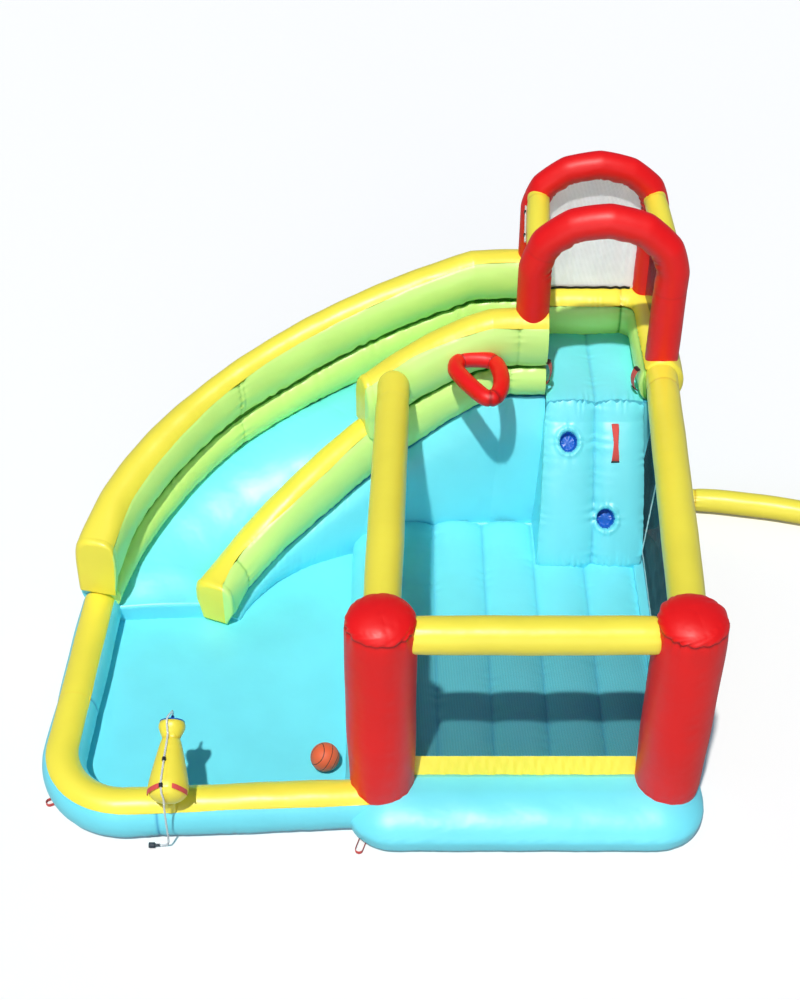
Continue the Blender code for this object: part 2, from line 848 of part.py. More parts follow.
def join_end(crest, pad):
    """Join a rounded end to a wall's crest: they are one piece of cloth."""
    join = crest.modifiers.new("end", "BOOLEAN")
    join.operation = "UNION"
    join.object = pad
    return applied(crest)


# Tower


def make_tower_body():
    """The chamber under the platform."""
    height = PLATFORM_HEIGHT - PLATFORM_CUSHION
    left = TOWER_LEFT + GAP
    right = TOWER_LEFT + TOWER_WIDTH
    front = TOWER_FRONT + GAP
    back = TOWER_FRONT + TOWER_DEPTH
    bulge = 0.04
    stack = []
    for share in spread(7):
        z = height * share
        swell = bulge * math.sin(math.pi * share) ** 0.7 if 0 < share < 1 else 0.0
        outline = [(left, front), (right - 0.10 + swell, front)]
        for angle in arc(-90, 0, 4)[1:]:
            outline.append(
                (right - 0.10 + swell + 0.10 * math.cos(angle), front + 0.10 + 0.10 * math.sin(angle))
            )
        corner = TOWER_CORNER + 0.10
        for angle in arc(0, 90, 6):
            outline.append(
                (
                    right - corner + swell + corner * math.cos(angle),
                    back - corner + swell + corner * math.sin(angle),
                )
            )
        outline.append((left, back + swell))
        stack.append([(x, y, z) for x, y in outline])
    return loft("tower_body", stack, BLUE_CLOTH)


def make_platform(*walls):
    """The platform's cushion: two columns that run on from the climbing wall."""
    left = TOWER_LEFT + 2 * GAP
    right = TOWER_LEFT + TOWER_WIDTH - 2 * WALL_RADIUS + 0.06
    front = TOWER_FRONT + GAP
    back = SLIDE_CENTRE.y + OUTER_REACH.y - WALL_RADIUS + 0.06
    bottom = PLATFORM_HEIGHT - PLATFORM_CUSHION + GAP
    outline = [(left, bottom), (right, bottom)]
    for share in reversed(spread(15)):
        lobe = abs(2 * ((share * 2) % 1.0) - 1) if 0 < share < 1 else 1.0
        outline.append((mix(left, right, share), PLATFORM_HEIGHT - 0.022 * lobe**2.4))
    platform = loft("platform", [[(x, y, z) for x, z in outline] for y in (front, back)], BLUE_CLOTH)
    return seat(platform, *walls)


def tower_wall_route():
    """Centre line of the tower's wall: along the back, round the corner and forward on the right."""
    back = SLIDE_CENTRE.y + OUTER_REACH.y
    right = TOWER_LEFT + TOWER_WIDTH - WALL_RADIUS + 0.01
    corner = Vector((right - TOWER_CORNER, back - TOWER_CORNER, 0.0))
    points = [Vector((mix(TOWER_LEFT + GAP, corner.x, share), back, 0.0)) for share in spread(4)[:-1]]
    for angle in arc(90, 0, 7):
        points.append(corner + TOWER_CORNER * Vector((math.cos(angle), math.sin(angle), 0.0)))
    for share in spread(4)[1:]:
        points.append(Vector((right, mix(corner.y, TOWER_FRONT + 0.03, share), 0.0)))
    return points


def make_tower_wall():
    """The wall tube round the platform, green inside and yellow on top and outside."""
    bottom = PLATFORM_HEIGHT - PLATFORM_CUSHION + GAP
    height = TOWER_WALL_HEIGHT + PLATFORM_CUSHION
    green = crest_section(WALL_RADIUS, bottom, -FLAT, GREEN_TO, 7, height)
    green.append(crest_section(WALL_RADIUS, bottom, 180 + FLAT, 180 + FLAT, 2, height)[0])
    yellow = crest_section(WALL_RADIUS, bottom, GREEN_TO, 180 + FLAT, 11, height)
    yellow = [(across - 2 * GAP, up + 2 * GAP) for across, up in yellow]
    made = []
    for name, section, finish in (
        ("tower_wall_inside", green, GREEN_CLOTH),
        ("tower_wall_crest", yellow, YELLOW_CLOTH),
    ):
        rings = []
        for place, side in with_sides(tower_wall_route(), -1, (0, -1), (-1, 0)):
            rings.append([place + side * across + Vector((0, 0, up)) for across, up in section])
        made.append(loft(name, domed(rings, False, True, 0.03), finish))
    return made


def with_sides(route, turn, first, last):
    """Each point of a route with the plan direction to its left (turn 1) or right (turn -1)."""
    framed = []
    for index, place in enumerate(route):
        before = route[max(index - 1, 0)]
        after = route[min(index + 1, len(route) - 1)]
        along = (after - before).normalized()
        framed.append((place, Vector((-along.y * turn, along.x * turn, 0.0))))
    framed[0] = (route[0], Vector((*first, 0.0)))
    framed[-1] = (route[-1], Vector((*last, 0.0)))
    return framed


def climb_point(across, up):
    """A point of the climbing wall's face, by its shares of the wall's width and height."""
    lobe = abs(2 * ((across * CLIMB_COLUMNS) % 1.0) - 1) if 0 < across < 1 else 1.0
    inset = CLIMB_CROWN * lobe**3.0
    run = TOWER_FRONT - CLIMB_FOOT
    along = up**1.15
    belly = 0.05 * math.sin(math.pi * min(up * 1.15, 1.0)) ** 0.8
    settle = 1 - smoothstep((up - 0.82) / 0.18)
    y = CLIMB_FOOT + run * along + (inset - belly) * settle
    z = mix(BASE_HEIGHT, PLATFORM_HEIGHT, up) - inset * 0.6 * up
    flare = CLIMB_FLARE * (1 - up) * (1 - across) ** 2
    return Vector((TOWER_LEFT + GAP + CLIMB_WIDTH * across - flare, y, z))


def climb_slope(across, up):
    """The direction straight out of the climbing wall's face."""
    rise = climb_point(across, up + 0.02) - climb_point(across, up - 0.02)
    return Vector((0.0, -rise.z, rise.y)).normalized()


def make_climbing_column(name, index, pocket_name, pocket_at, *neighbours):
    """One crowned column of the wall to climb up to the platform, with its hand pocket."""
    head = TOWER_FRONT - GAP
    sunk = BASE_HEIGHT - FLOOR_CREASE - 0.02
    sink = (BASE_HEIGHT - sunk) / (PLATFORM_HEIGHT - BASE_HEIGHT)
    rings = []
    for share in spread(9):
        across = (index + share) / CLIMB_COLUMNS
        shift = Vector((GROWTH * index, 0.0, 0.0))
        foot_x = climb_point(across, 0.0).x - CLIMB_FLARE * (1 - across) ** 2 * sink
        face = [climb_point(across, up) for up in (0.0, 0.06, 0.16, 0.3, 0.45, 0.6, 0.74, 0.86, 0.95)]
        top = climb_point(across, 1.0)
        ring = [Vector((foot_x, face[0].y + 0.02, sunk)), *face]
        ring += [Vector((top.x, head, top.z)), Vector((foot_x, head, sunk))]
        rings.append([point + shift for point in ring])
    column = loft(name, rings, BLUE_CLOTH)
    out = climb_slope(*pocket_at)
    place = climb_point(*pocket_at) - out * 0.005
    pocket = pocket_cutter(pocket_name, place, math.atan2(out.z, -out.y) * 0.35)
    cut = column.modifiers.new(pocket_name, "BOOLEAN")
    cut.operation = "DIFFERENCE"
    cut.object = pocket
    return seat(applied(column), *neighbours)


def pocket_cutter(name, place, slope):
    """The hollow of one hand pocket, as a cutter: an oval that runs nearly level into the wall."""

    def build(shape):
        bmesh.ops.create_uvsphere(shape, u_segments=12, v_segments=6, radius=1.0)
        size = (POCKET_RADIUS, POCKET_DEPTH, POCKET_RADIUS * 1.15)
        bmesh.ops.scale(shape, verts=shape.verts, vec=size)

    cutter = mesh_object(name, build, BLUE_CLOTH, CUTTERS)
    placed(cutter, place, Matrix.Rotation(-slope, 4, "X"))
    cutter.hide_render = True
    cutter.display_type = "WIRE"
    return cutter


# Pool


def pool_route():
    """Centre line of the pool wall in plan: down the left side, round the corner, along the front."""
    start, out = slide_place(OUTER_REACH, 0.0)
    start += Vector((-out.y, out.x)) * GAP
    corner = Vector((POOL_LEFT + POOL_CORNER, POOL_FRONT + POOL_CORNER))
    end = Vector((-BASE_WIDTH / 2 + 0.15, POOL_FRONT_END))
    slope = math.degrees(math.atan2(end.y - POOL_FRONT, end.x - corner.x))
    bend = arc(180, 270 + slope, 11)
    round_part = [corner + POOL_CORNER * Vector((math.cos(a), math.sin(a))) for a in bend]
    left_part = [start.lerp(round_part[0], share) for share in spread(7)[:-1]]
    front_part = [round_part[-1].lerp(end, share) for share in spread(7)[1:]]
    return [Vector((*point, 0.0)) for point in (*left_part, *round_part, *front_part)]


def pool_sides():
    """The pool wall's route with the direction towards the pool."""
    route = pool_route()
    along = (route[-1] - route[-2]).normalized()
    out = slide_place(OUTER_REACH, 0.0)[1]
    return with_sides(route, 1, -out, (-along.y, along.x))


def make_pool_wall(*neighbours):
    """The low wall round the pool, blue below and yellow on top."""
    sides = []
    crests = []
    seam = 25.0
    half = POOL_WALL_HALF
    height = POOL_WALL_HEIGHT
    lower = crest_section(half, 0.0, -FLAT, seam, 6, height)
    lower += crest_section(half, 0.0, 180 - seam, 180 + FLAT, 6, height)
    upper = crest_section(half, 0.0, seam, 180 - seam, 9, height)
    upper = [(across, up + GAP) for across, up in upper]
    for place, inward in pool_sides():
        sides.append([place + inward * a + Vector((0, 0, z)) for a, z in lower])
        crests.append([place + inward * a + Vector((0, 0, z)) for a, z in upper])
    return [
        seat(loft("pool_wall", sides, BLUE_CLOTH), *neighbours),
        seat(loft("pool_wall_crest", crests, YELLOW_CLOTH), *neighbours),
    ]


def make_pool_floor():
    """The floor sheet of the pool, sewn to the foot of the wall, the slide and the base."""
    outline = [place + inward * 0.06 for place, inward in pool_sides()]
    side = -BASE_WIDTH / 2 + 0.15
    outline.append(Vector((side, outline[-1].y, 0.0)))
    under = [slide_place(FOOT_REACH, s, FOOT_SQUARENESS) for s in stations(0.9, 0.04, 16)]
    under = [place + out * 0.1 for place, out in under]
    under = [place for place in under if place.x < side]
    outline.append(Vector((side, under[0].y, 0.0)))
    outline += [Vector((*place, 0.0)) for place in under]
    outline.append(Vector((outline[0].x, under[-1].y, 0.0)))
    rings = [[(point.x, point.y, z) for point in outline] for z in (0.0, POOL_FLOOR)]
    return loft("pool_floor", rings, BLUE_CLOTH)


# Arches and roof tubes


def arch_route(legs, depths, spring, top, steps=18):
    """A leg up, half an ellipse over, and a leg down into the walls that the arch stands on."""
    centre = sum(legs) / 2
    half = (legs[1] - legs[0]) / 2
    points = [Vector((legs[0], depths[0], 1.62))]
    for angle in arc(180, 0, steps):
        share = (1 + math.cos(angle)) / 2
        rise = (top - spring) * math.sin(angle)
        points.append(Vector((centre + half * math.cos(angle), mix(*depths, share), spring + rise)))
    points.append(Vector((legs[1], depths[1], 1.36)))
    return points


def arch_side(legs, spring, top, height, side):
    """Where an arch's centre line is at a height, on its left (side -1) or right (side 1)."""
    share = (height - spring) / (top - spring)
    return sum(legs) / 2 + side * (legs[1] - legs[0]) / 2 * math.sqrt(1 - share * share)


# Nets and webbing


def net_body(name, place, columns, rows, strand, finish, thickness=SHEET):
    """A net as one sheet with columns by rows of gaps.

    place(u, v) gives the middle of the sheet, and strand the strands' share of its width and height."""
    lines = []
    for count, share in ((columns, strand[0]), (rows, strand[1])):
        pitch = (1 - share) / count
        lines.append([value for i in range(count + 1) for value in (i * pitch, i * pitch + share)])
    across, along = lines

    def filled(i, j):
        inside = 0 <= i < len(across) - 1 and 0 <= j < len(along) - 1
        return inside and not (i % 2 and j % 2)

    def build(shape):
        front = []
        back = []
        for u in across:
            pair = ([], [])
            for v in along:
                middle = Vector(place(u, v))
                one = Vector(place(u + 0.001, v)) - middle
                other = Vector(place(u, v + 0.001)) - middle
                offset = one.cross(other).normalized() * thickness / 2
                pair[0].append(shape.verts.new(middle + offset))
                pair[1].append(shape.verts.new(middle - offset))
            front.append(pair[0])
            back.append(pair[1])
        for i in range(len(across) - 1):
            for j in range(len(along) - 1):
                if not filled(i, j):
                    continue
                corners = [(i, j), (i + 1, j), (i + 1, j + 1), (i, j + 1)]
                shape.faces.new([front[a][b] for a, b in corners])
                shape.faces.new([back[a][b] for a, b in reversed(corners)])
                steps = [(0, -1), (1, 0), (0, 1), (-1, 0)]
                for index, (di, dj) in enumerate(steps):
                    if not filled(i + di, j + dj):
                        a, b = corners[index]
                        c, d = corners[(index + 1) % 4]
                        shape.faces.new((front[c][d], front[a][b], back[a][b], back[c][d]))

    return mesh_object(name, build, finish)


def between(bottom_left, bottom_right, top_left, top_right):
    """A function that gives the points between four corners."""
    corners = [Vector(corner) for corner in (bottom_left, bottom_right, top_left, top_right)]

    def place(u, v):
        return corners[0].lerp(corners[1], u).lerp(corners[2].lerp(corners[3], u), v)

    return place


def band(name, place, finish, thickness=WEBBING, columns=1):
    """A plain band: a sheet between four corners, without gaps."""

    def build(shape):
        sides = []
        for share in spread(columns + 1):
            low = Vector(place(share, 0.0))
            high = Vector(place(share, 1.0))
            out = (Vector(place(1.0, 0.0)) - Vector(place(0.0, 0.0))).cross(high - low).normalized()
            out *= thickness / 2
            sides.append([shape.verts.new(p) for p in (low - out, low + out, high + out, high - out)])
        for first, second in zip(sides, sides[1:]):
            for index in range(4):
                after = (index + 1) % 4
                shape.faces.new((first[index], first[after], second[after], second[index]))
        shape.faces.new(reversed(sides[0]))
        shape.faces.new(sides[-1])

    return mesh_object(name, build, finish)


def strap(name, start, end, outward, across, lift, width, finish, steps=10):
    """A strap sewn down at both ends, with a lifted middle to hold on to."""
    start, end, outward, across = (Vector(item) for item in (start, end, outward, across))
    rings = []
    for share in spread(steps + 1):
        rise = lift * math.sin(math.pi * share) ** 0.55 if 0 < share < 1 else 0.0
        low = start.lerp(end, share) + outward * (rise + 2 * GAP)
        place = low + outward * WEBBING
        side = across.normalized() * width / 2
        rings.append([low - side, low + side, place + side, place - side])
    return loft(name, rings, finish)


def anchor_loop(name, foot, outward, neighbours, length=0.085, width=0.045):
    """A flat webbing loop at the foot of a wall, to peg it to the ground."""
    foot = Vector((*foot, 0.0))
    outward = Vector((*outward, 0.0)).normalized()
    along = Vector((-outward.y, outward.x, 0.0))
    half = width / 2
    path = [(-0.05, half), (length - half, half)]
    path += [(length - half + half * math.cos(a), half * math.sin(a)) for a in arc(60, -60, 5)]
    path += [(length - half, -half), (-0.05, -half)]
    rings = []
    for index, (out, side) in enumerate(path):
        place = foot + outward * out + along * side
        inner = foot + outward * (out - (0.003 if out > length - half else 0.0)) + along * side * 0.86
        low = Vector((0, 0, 0.001))
        high = Vector((0, 0, 0.026))
        rings.append([place + low, inner + low, inner + high, place + high])
    made = loft(name, rings, RED_WEBBING)
    return seat(made, *neighbours)


# Water cannon


def cannon_frame():
    """The barrel's placing: its own +Z runs along the barrel to the nozzle."""
    return Matrix.Rotation(math.radians(CANNON_ELEVATION - 90), 4, "X")


def barrel_radius(at):
    """The barrel's radius at a distance from the belly's centre."""
    if at < 0:
        return CANNON_BELLY * math.sqrt(max(0.0, 1 - abs(at / CANNON_REAR) ** 2.4))
    if at < CANNON_NECK_AT:
        return mix(CANNON_BELLY, CANNON_NECK, (at / CANNON_NECK_AT) ** 1.15)
    share = (at - CANNON_NECK_AT) / (CANNON_LENGTH - CANNON_NECK_AT)
    return mix(CANNON_NECK, CANNON_HEAD, smoothstep(share * 1.35)) - 0.006 * max(0.0, share - 0.85) / 0.15


def make_cannon():
    """The inflated water cannon, its cap with a spray fitting, and what is sewn to it."""
    frame = cannon_frame()
    stations_along = [mix(CANNON_LENGTH, CANNON_NECK_AT, share) for share in spread(6)]
    stations_along += [mix(CANNON_NECK_AT, 0.0, share) for share in spread(6)][1:]
    profile = [(0.0, CANNON_LENGTH)] + [(barrel_radius(at), at) for at in stations_along]
    profile += [(barrel_radius(at), at) for at in (-0.035, -0.065, -0.083, -0.092)]
    profile.append((0.0, -CANNON_REAR))
    barrel = applied(placed(turned("cannon_barrel", profile, YELLOW_CLOTH, 20), CANNON_PLACE, frame))

    end = CANNON_LENGTH + GAP
    face = end + CAP_THICKNESS
    tip = face + FITTING_LENGTH
    cap = [(0.0, tip - 0.018), (0.004, tip - 0.018), (0.004, tip), (0.010, tip)]
    cap += [(0.010, face + 0.012), (0.020, face + 0.010), (0.020, face), (0.052, face)]
    cap += [(0.060, end + 0.007), (0.062, end), (0.0, end)]
    applied(placed(turned("cannon_nozzle", cap, BLUE_PLASTIC, 20), CANNON_PLACE, frame))

    lowest = min((barrel.matrix_world @ vert.co).z for vert in barrel.data.vertices)
    stalk_top = lowest - PIVOT_CLEARANCE
    sunk = POOL_WALL_HEIGHT - 0.04
    profile = [(0.0, stalk_top), (CANNON_STALK, stalk_top), (CANNON_STALK, sunk), (0.0, sunk)]
    stalk = turned("cannon_stalk", profile, YELLOW_CLOTH, 20)
    return applied(placed(stalk, Vector((CANNON_PLACE.x, CANNON_PLACE.y, 0.0))))


def on_barrel(at, turn, clear=0.0):
    """A world point over the barrel's surface, turn degrees from its top ridge."""
    angle = math.radians(turn)
    radius = barrel_radius(at) + clear
    local = Vector((radius * math.sin(angle), -radius * math.cos(angle), at))
    return CANNON_PLACE + cannon_frame() @ local


def barrel_tangent(at, turn, clear):
    """The direction to the nozzle along the barrel's surface."""
    return (on_barrel(at + 0.01, turn, clear) - on_barrel(at - 0.01, turn, clear)).normalized()


def make_hoses():
    """The clear water hose: held on the barrel, and free from the barrel down to the ground."""
    clear = HOSE_RADIUS + HOSE_REST
    axis = cannon_frame() @ Vector((0, 0, 1))
    above = cannon_frame() @ Vector((0, -1, 0))
    seam = on_barrel(HOSE_SEAM, HOSE_TURN, clear)
    along = barrel_tangent(HOSE_SEAM, HOSE_TURN, clear)
    tip = CANNON_PLACE + axis * (CANNON_LENGTH + GAP + CAP_THICKNESS + FITTING_LENGTH + GAP)
    marks = (0.0, 0.09, 0.18, CANNON_NECK_AT, CANNON_NECK_AT + 0.03)
    route = [seam + along * 0.008]
    route += [on_barrel(at, HOSE_TURN, clear) for at in marks]
    route.append(on_barrel(CANNON_LENGTH - 0.025, HOSE_TURN, clear + 0.004))
    route.append(on_barrel(CANNON_LENGTH + 0.008, HOSE_TURN, clear + 0.006))
    route += [tip + above * 0.045 + axis * 0.012, tip + above * 0.012 + axis * 0.022, tip + axis * 0.008]
    held = tube("cannon_hose_held", [seam, *smooth_route(route, 3), tip], HOSE_RADIUS, CLEAR_HOSE, 2)
    pivoted(held, CANNON_PLACE)

    end = Vector((CONNECTOR_PLACE.x + CONNECTOR_TAIL + GAP, CONNECTOR_PLACE.y, CONNECTOR_HEIGHT))
    outside = on_barrel(-0.088, HOSE_TURN, clear).y - 0.004
    x = seam.x
    points = [seam - along * 0.008, on_barrel(-0.07, HOSE_TURN, clear + 0.004)]
    points.append(on_barrel(-0.088, HOSE_TURN, clear + 0.008))
    for across, out, up in ((0.008, -0.004, 0.40), (0.006, -0.002, 0.28), (0.004, 0.004, 0.16)):
        points.append(Vector((x + across, outside + out, up)))
    points += [Vector((x, outside + 0.012, 0.07)), Vector((x - 0.015, end.y, 0.024))]
    points.append(end + Vector((0.012, 0, 0)))
    route = [seam - along * GAP, *smooth_route(points, 3), end]
    free = tube("cannon_hose_free", route, HOSE_RADIUS, CLEAR_HOSE, 2)
    return held, free


def hose_clip(name, centre, along, outward):
    """A small black loop of webbing that holds the hose down, open towards what it is sewn to."""
    side = along.cross(outward).normalized()
    inner = HOSE_RADIUS + HOSE_REST
    outer = inner + WEBBING
    half = along * 0.012
    rings = []
    for angle in arc(0, 180, 9):
        direction = side * math.cos(angle) + outward * math.sin(angle)
        near = centre + direction * inner
        far = centre + direction * outer
        rings.append([near - half, near + half, far + half, far - half])
    return loft(name, rings, BLACK_WEBBING)


def make_connector():
    """The hose's quick connector on the ground, with a nut that turns on it."""
    turn = Matrix.Rotation(math.radians(-90), 4, "Y")
    place = Vector((CONNECTOR_PLACE.x, CONNECTOR_PLACE.y, CONNECTOR_HEIGHT))
    body = [(0.0, -CONNECTOR_TAIL), (0.008, -CONNECTOR_TAIL), (0.008, -0.022)]
    body += [(0.011, -0.022), (0.011, 0.012), (0.0, 0.012)]
    applied(placed(turned("hose_connector", list(reversed(body)), BLUE_PLASTIC, 20), place, turn))
    inner = 0.0115
    nut = [(inner, 0.016), (CONNECTOR_RADIUS * 0.92, 0.018), (CONNECTOR_RADIUS, 0.014)]
    nut += [(CONNECTOR_RADIUS, -0.014), (CONNECTOR_RADIUS * 0.92, -0.018), (inner, -0.018), (inner, 0.016)]
    applied(placed(turned("connector_nut", nut, BLUE_PLASTIC, 20), place, turn))


def make_hoop(*neighbours):
    """The ring to throw the ball through, sewn level to the wall above the bounce area.

    It has three corners, and a blunt point in front where its tube's ends are joined."""
    wall_face = SLIDE_CENTRE + Vector((0.0, INNER_REACH.y - inner_half(1.0)))
    shares = [(-1.145, 0.267), (-1.052, 0.058), (-0.762, 0.023), (-0.529, 0.105), (-0.436, 0.407)]
    shares += [(-0.448, 0.756), (-0.552, 1.012), (-0.692, 1.023), (-0.855, 0.826), (-1.041, 0.523)]
    ring = []
    for across, ahead in shares:
        place = wall_face + HOOP_LENGTH * Vector((across, -ahead))
        ring.append(Vector((*place, inner_top_height(1.0) - HOOP_DROP)))
    closed = closed_route(ring, 3)
    hoop = tube("hoop", closed, HOOP_TUBE, RED_CLOTH, 3, cyclic=True)
    return seat(hoop, *neighbours)


def make_sleeve(tower):
    """The inflation sleeve on the ground, with its open mouth at the far end."""
    points = []
    for share, drift in ((0.0, 0.0), (0.284, 0.105), (0.565, 0.395), (0.84, 0.789), (1.0, 1.0)):
        place = SLEEVE_START + Vector((SLEEVE_LENGTH * share, -SLEEVE_DRIFT * drift))
        points.append(Vector((*place, SLEEVE_RADIUS + 0.001)))
    route = smooth_route(points, 3)
    sleeve = tube("inflation_sleeve", route, SLEEVE_RADIUS, YELLOW_CLOTH, 5)
    bore = tube("sleeve_bore", route[8:], SLEEVE_RADIUS - SLEEVE_SKIN, YELLOW_CLOTH, 5)
    along = (route[-1] - route[-2]).normalized()
    for vert in bore.data.vertices:
        if (vert.co - route[-1]).dot(along) > -0.001:
            vert.co += along * 0.02
    PARTS.objects.unlink(bore)
    CUTTERS.objects.link(bore)
    bore.hide_render = True
    bore.display_type = "WIRE"
    cut = sleeve.modifiers.new("bore", "BOOLEAN")
    cut.operation = "DIFFERENCE"
    cut.object = bore
    return seat(applied(sleeve), tower)


def main():
    """Make every piece, from the ground up."""
    half_depth = BASE_DEPTH / 2
    base = make_base()
    floor = make_floor()
    left_post = make_post("left_post", -1, base, floor)
    right_post = make_post("right_post", 1, base, floor)
    pool_wall = make_pool_wall(base, left_post)
    pool_floor = seat(make_pool_floor(), base, pool_wall[0])
    outer = make_outer_wall()
    inner_low = make_inner_low_run()
    inner_high = make_inner_high_run()
    outer_end = (OUTER_HALF_WIDTH[0] + 0.006, POOL_WALL_HEIGHT + 0.002, OUTER_WALL_END + 0.004)
    outer_pad = make_end_pad("outer_wall_end", OUTER_REACH, *outer_end)
    inner_end = (INNER_HALF_WIDTH[0] + 0.006, POOL_FLOOR + 0.005, LANE_END + INNER_LOW_TOP + 0.004)
    inner_pad = make_end_pad("inner_wall_end", INNER_REACH, *inner_end)
    make_lane(outer[0], *inner_low, inner_high[0], inner_pad)
    slide_body = make_slide_body(base, floor, pool_floor, inner_pad)
    join_end(outer[-1], outer_pad)
    join_end(inner_low[-1], inner_pad)

    tower = seat(make_tower_body(), base)
    tower_wall = make_tower_wall()
    make_platform(*tower_wall)
    seats = (floor, base, slide_body)
    make_climbing_column("climbing_wall_left", 0, "upper_pocket", (0.24, 0.77), *seats)
    make_climbing_column("climbing_wall_right", 1, "lower_pocket", (0.62, 0.33), *seats)

    post_y = POST_SETBACK - half_depth
    post_x = POST_SPACING / 2
    left_start = Vector((-post_x, post_y, FRONT_RAIL_HEIGHT))
    right_start = Vector((post_x, post_y, FRONT_RAIL_HEIGHT))
    front_rail = seat(make_rail("front_rail", left_start, right_start), left_post, right_post)
    left_end = Vector((-post_x + LEFT_RAIL_SHIFT, 1.28, FRONT_RAIL_HEIGHT - SIDE_RAIL_DROP))
    left_rail = make_rail("left_rail", left_start, left_end, dome=True)
    seat(left_rail, left_post, *inner_high)
    right_end = Vector((post_x + RIGHT_RAIL_SHIFT, TOWER_FRONT, FRONT_RAIL_HEIGHT - 2 * SIDE_RAIL_DROP))
    right_rail = seat(make_rail("right_rail", right_start, right_end), right_post, *tower_wall)

    side = post_x - POST_RADIUS * 1.02 - 0.006
    foot_side = post_x - math.sqrt((POST_RADIUS * 1.02) ** 2 - 0.075**2) - 0.006
    band_y = post_y + 0.075
    sill = between(
        (-foot_side, band_y, BASE_HEIGHT + 0.003),
        (foot_side, band_y, BASE_HEIGHT + 0.003),
        (-foot_side, band_y - 0.006, BASE_HEIGHT + 0.14),
        (foot_side, band_y - 0.006, BASE_HEIGHT + 0.14),
    )
    band("sill_band", sill, YELLOW_CLOTH)
    net = between(
        (-foot_side, band_y - 0.006, BASE_HEIGHT + 0.142),
        (foot_side, band_y - 0.006, BASE_HEIGHT + 0.142),
        (-side, post_y, FRONT_RAIL_HEIGHT - RAIL_RADIUS * 1.03 - 0.003),
        (side, post_y, FRONT_RAIL_HEIGHT - RAIL_RADIUS * 1.03 - 0.003),
    )
    net_body("front_net", net, 11, 8, (0.007, 0.008), DARK_NET)
    rail_foot = right_end - right_start
    low = RAIL_RADIUS * 1.03 + 0.004
    net_front = post_y + POST_RADIUS + 0.012
    net_back = TOWER_FRONT - 0.006

    def under_rail(y):
        share = (y - right_start.y) / rail_foot.y
        point = right_start + rail_foot * share
        return (point.x, y, point.z - low)

    right_foot = TOWER_LEFT + CLIMB_WIDTH + 0.012
    right_net = between(
        (right_foot - 0.01, net_front, BASE_HEIGHT + 0.003),
        (right_foot, net_back, BASE_HEIGHT + 0.003),
        under_rail(net_front),
        under_rail(net_back),
    )
    net_body("right_net", right_net, 13, 6, (0.005, 0.008), DARK_NET)
    front_y = (SLIDE_CENTRE.y + INNER_REACH.y + 0.02, SLIDE_CENTRE.y + INNER_REACH.y - 0.04)
    front_route = arch_route(ARCH_LEGS, front_y, ARCH_SPRING, ARCH_TOP)
    front_arch = tube("front_arch", front_route, ARCH_RADIUS, RED_CLOTH, 4)
    seat(front_arch, *inner_high, *tower_wall)
    rear_y = (SLIDE_CENTRE.y + OUTER_REACH.y,) * 2
    rear_route = arch_route(REAR_ARCH_LEGS, rear_y, REAR_ARCH_SPRING, REAR_ARCH_TOP)
    rear_arch = tube("rear_arch", rear_route, REAR_ARCH_RADIUS, RED_CLOTH, 4)
    seat(rear_arch, *outer, *tower_wall)
    roof_ends = []
    for name, side in (("left_roof_tube", -1), ("right_roof_tube", 1)):
        front_x = arch_side(ARCH_LEGS, ARCH_SPRING, ARCH_TOP, ROOF_TUBE_FRONT, side)
        rear_x = arch_side(REAR_ARCH_LEGS, REAR_ARCH_SPRING, REAR_ARCH_TOP, ROOF_TUBE_REAR, side)
        start = Vector((front_x, front_y[side > 0], ROOF_TUBE_FRONT))
        end = Vector((rear_x, rear_y[0], ROOF_TUBE_REAR))
        roof = tube(name, [start, start.lerp(end, 0.5), end], ROOF_TUBE_RADIUS, YELLOW_CLOTH, 4)
        seat(roof, front_arch, rear_arch)
        roof_ends.append((start, end))

    sill_top = PLATFORM_HEIGHT + TOWER_WALL_HEIGHT
    centre_x = sum(REAR_ARCH_LEGS) / 2
    inner_half_x = (REAR_ARCH_LEGS[1] - REAR_ARCH_LEGS[0]) / 2 - REAR_ARCH_RADIUS - 0.012
    inner_rise = REAR_ARCH_TOP - REAR_ARCH_SPRING - REAR_ARCH_RADIUS - 0.016

    def mesh_place(u, v):
        across = 2 * u - 1
        top = REAR_ARCH_SPRING + inner_rise * math.sqrt(max(0.0, 1 - (across * 0.985) ** 2))
        return (centre_x + inner_half_x * across, rear_y[0], mix(sill_top + 0.006, top, v))

    net_body("back_mesh", mesh_place, 6, 7, (0.016, 0.013), WHITE_MESH)
    drop = Vector((0, 0, ROOF_TUBE_RADIUS + 0.014))
    start, end = roof_ends[1]
    along = (end - start) / (end.y - start.y)
    net_start = start + along * (ARCH_RADIUS + 0.014) - drop
    net_end = end - along * (REAR_ARCH_RADIUS + 0.014) - drop
    side_net = between(
        (net_start.x, net_start.y, sill_top + 0.012),
        (net_end.x, net_end.y, sill_top + 0.012),
        net_start,
        net_end,
    )
    net_body("side_net", side_net, 4, 5, (0.018, 0.013), DARK_NET)

    make_hoop(*inner_high)
    face_x = slide_place(INNER_REACH, 1.94)[0].x
    strap(
        "left_handle",
        (face_x, 1.515, 1.29),
        (face_x, 1.515, 1.47),
        (1, 0, 0),
        (0, 1, 0),
        0.045,
        WEBBING_WIDTH,
        RED_WEBBING,
    )
    inner_face = tower_wall_route()[-1].x - WALL_RADIUS
    strap(
        "right_handle",
        (inner_face - 0.002, 1.53, 1.23),
        (inner_face - 0.002, 1.53, 1.40),
        (-1, 0, 0),
        (0, 1, 0),
        0.045,
        WEBBING_WIDTH,
        RED_WEBBING,
    )
    strap(
        "climbing_strap",
        climb_point(0.70, 0.66),
        climb_point(0.70, 0.86),
        climb_slope(0.70, 0.76),
        (1, 0, 0),
        0.05,
        WEBBING_WIDTH,
        RED_WEBBING,
    )

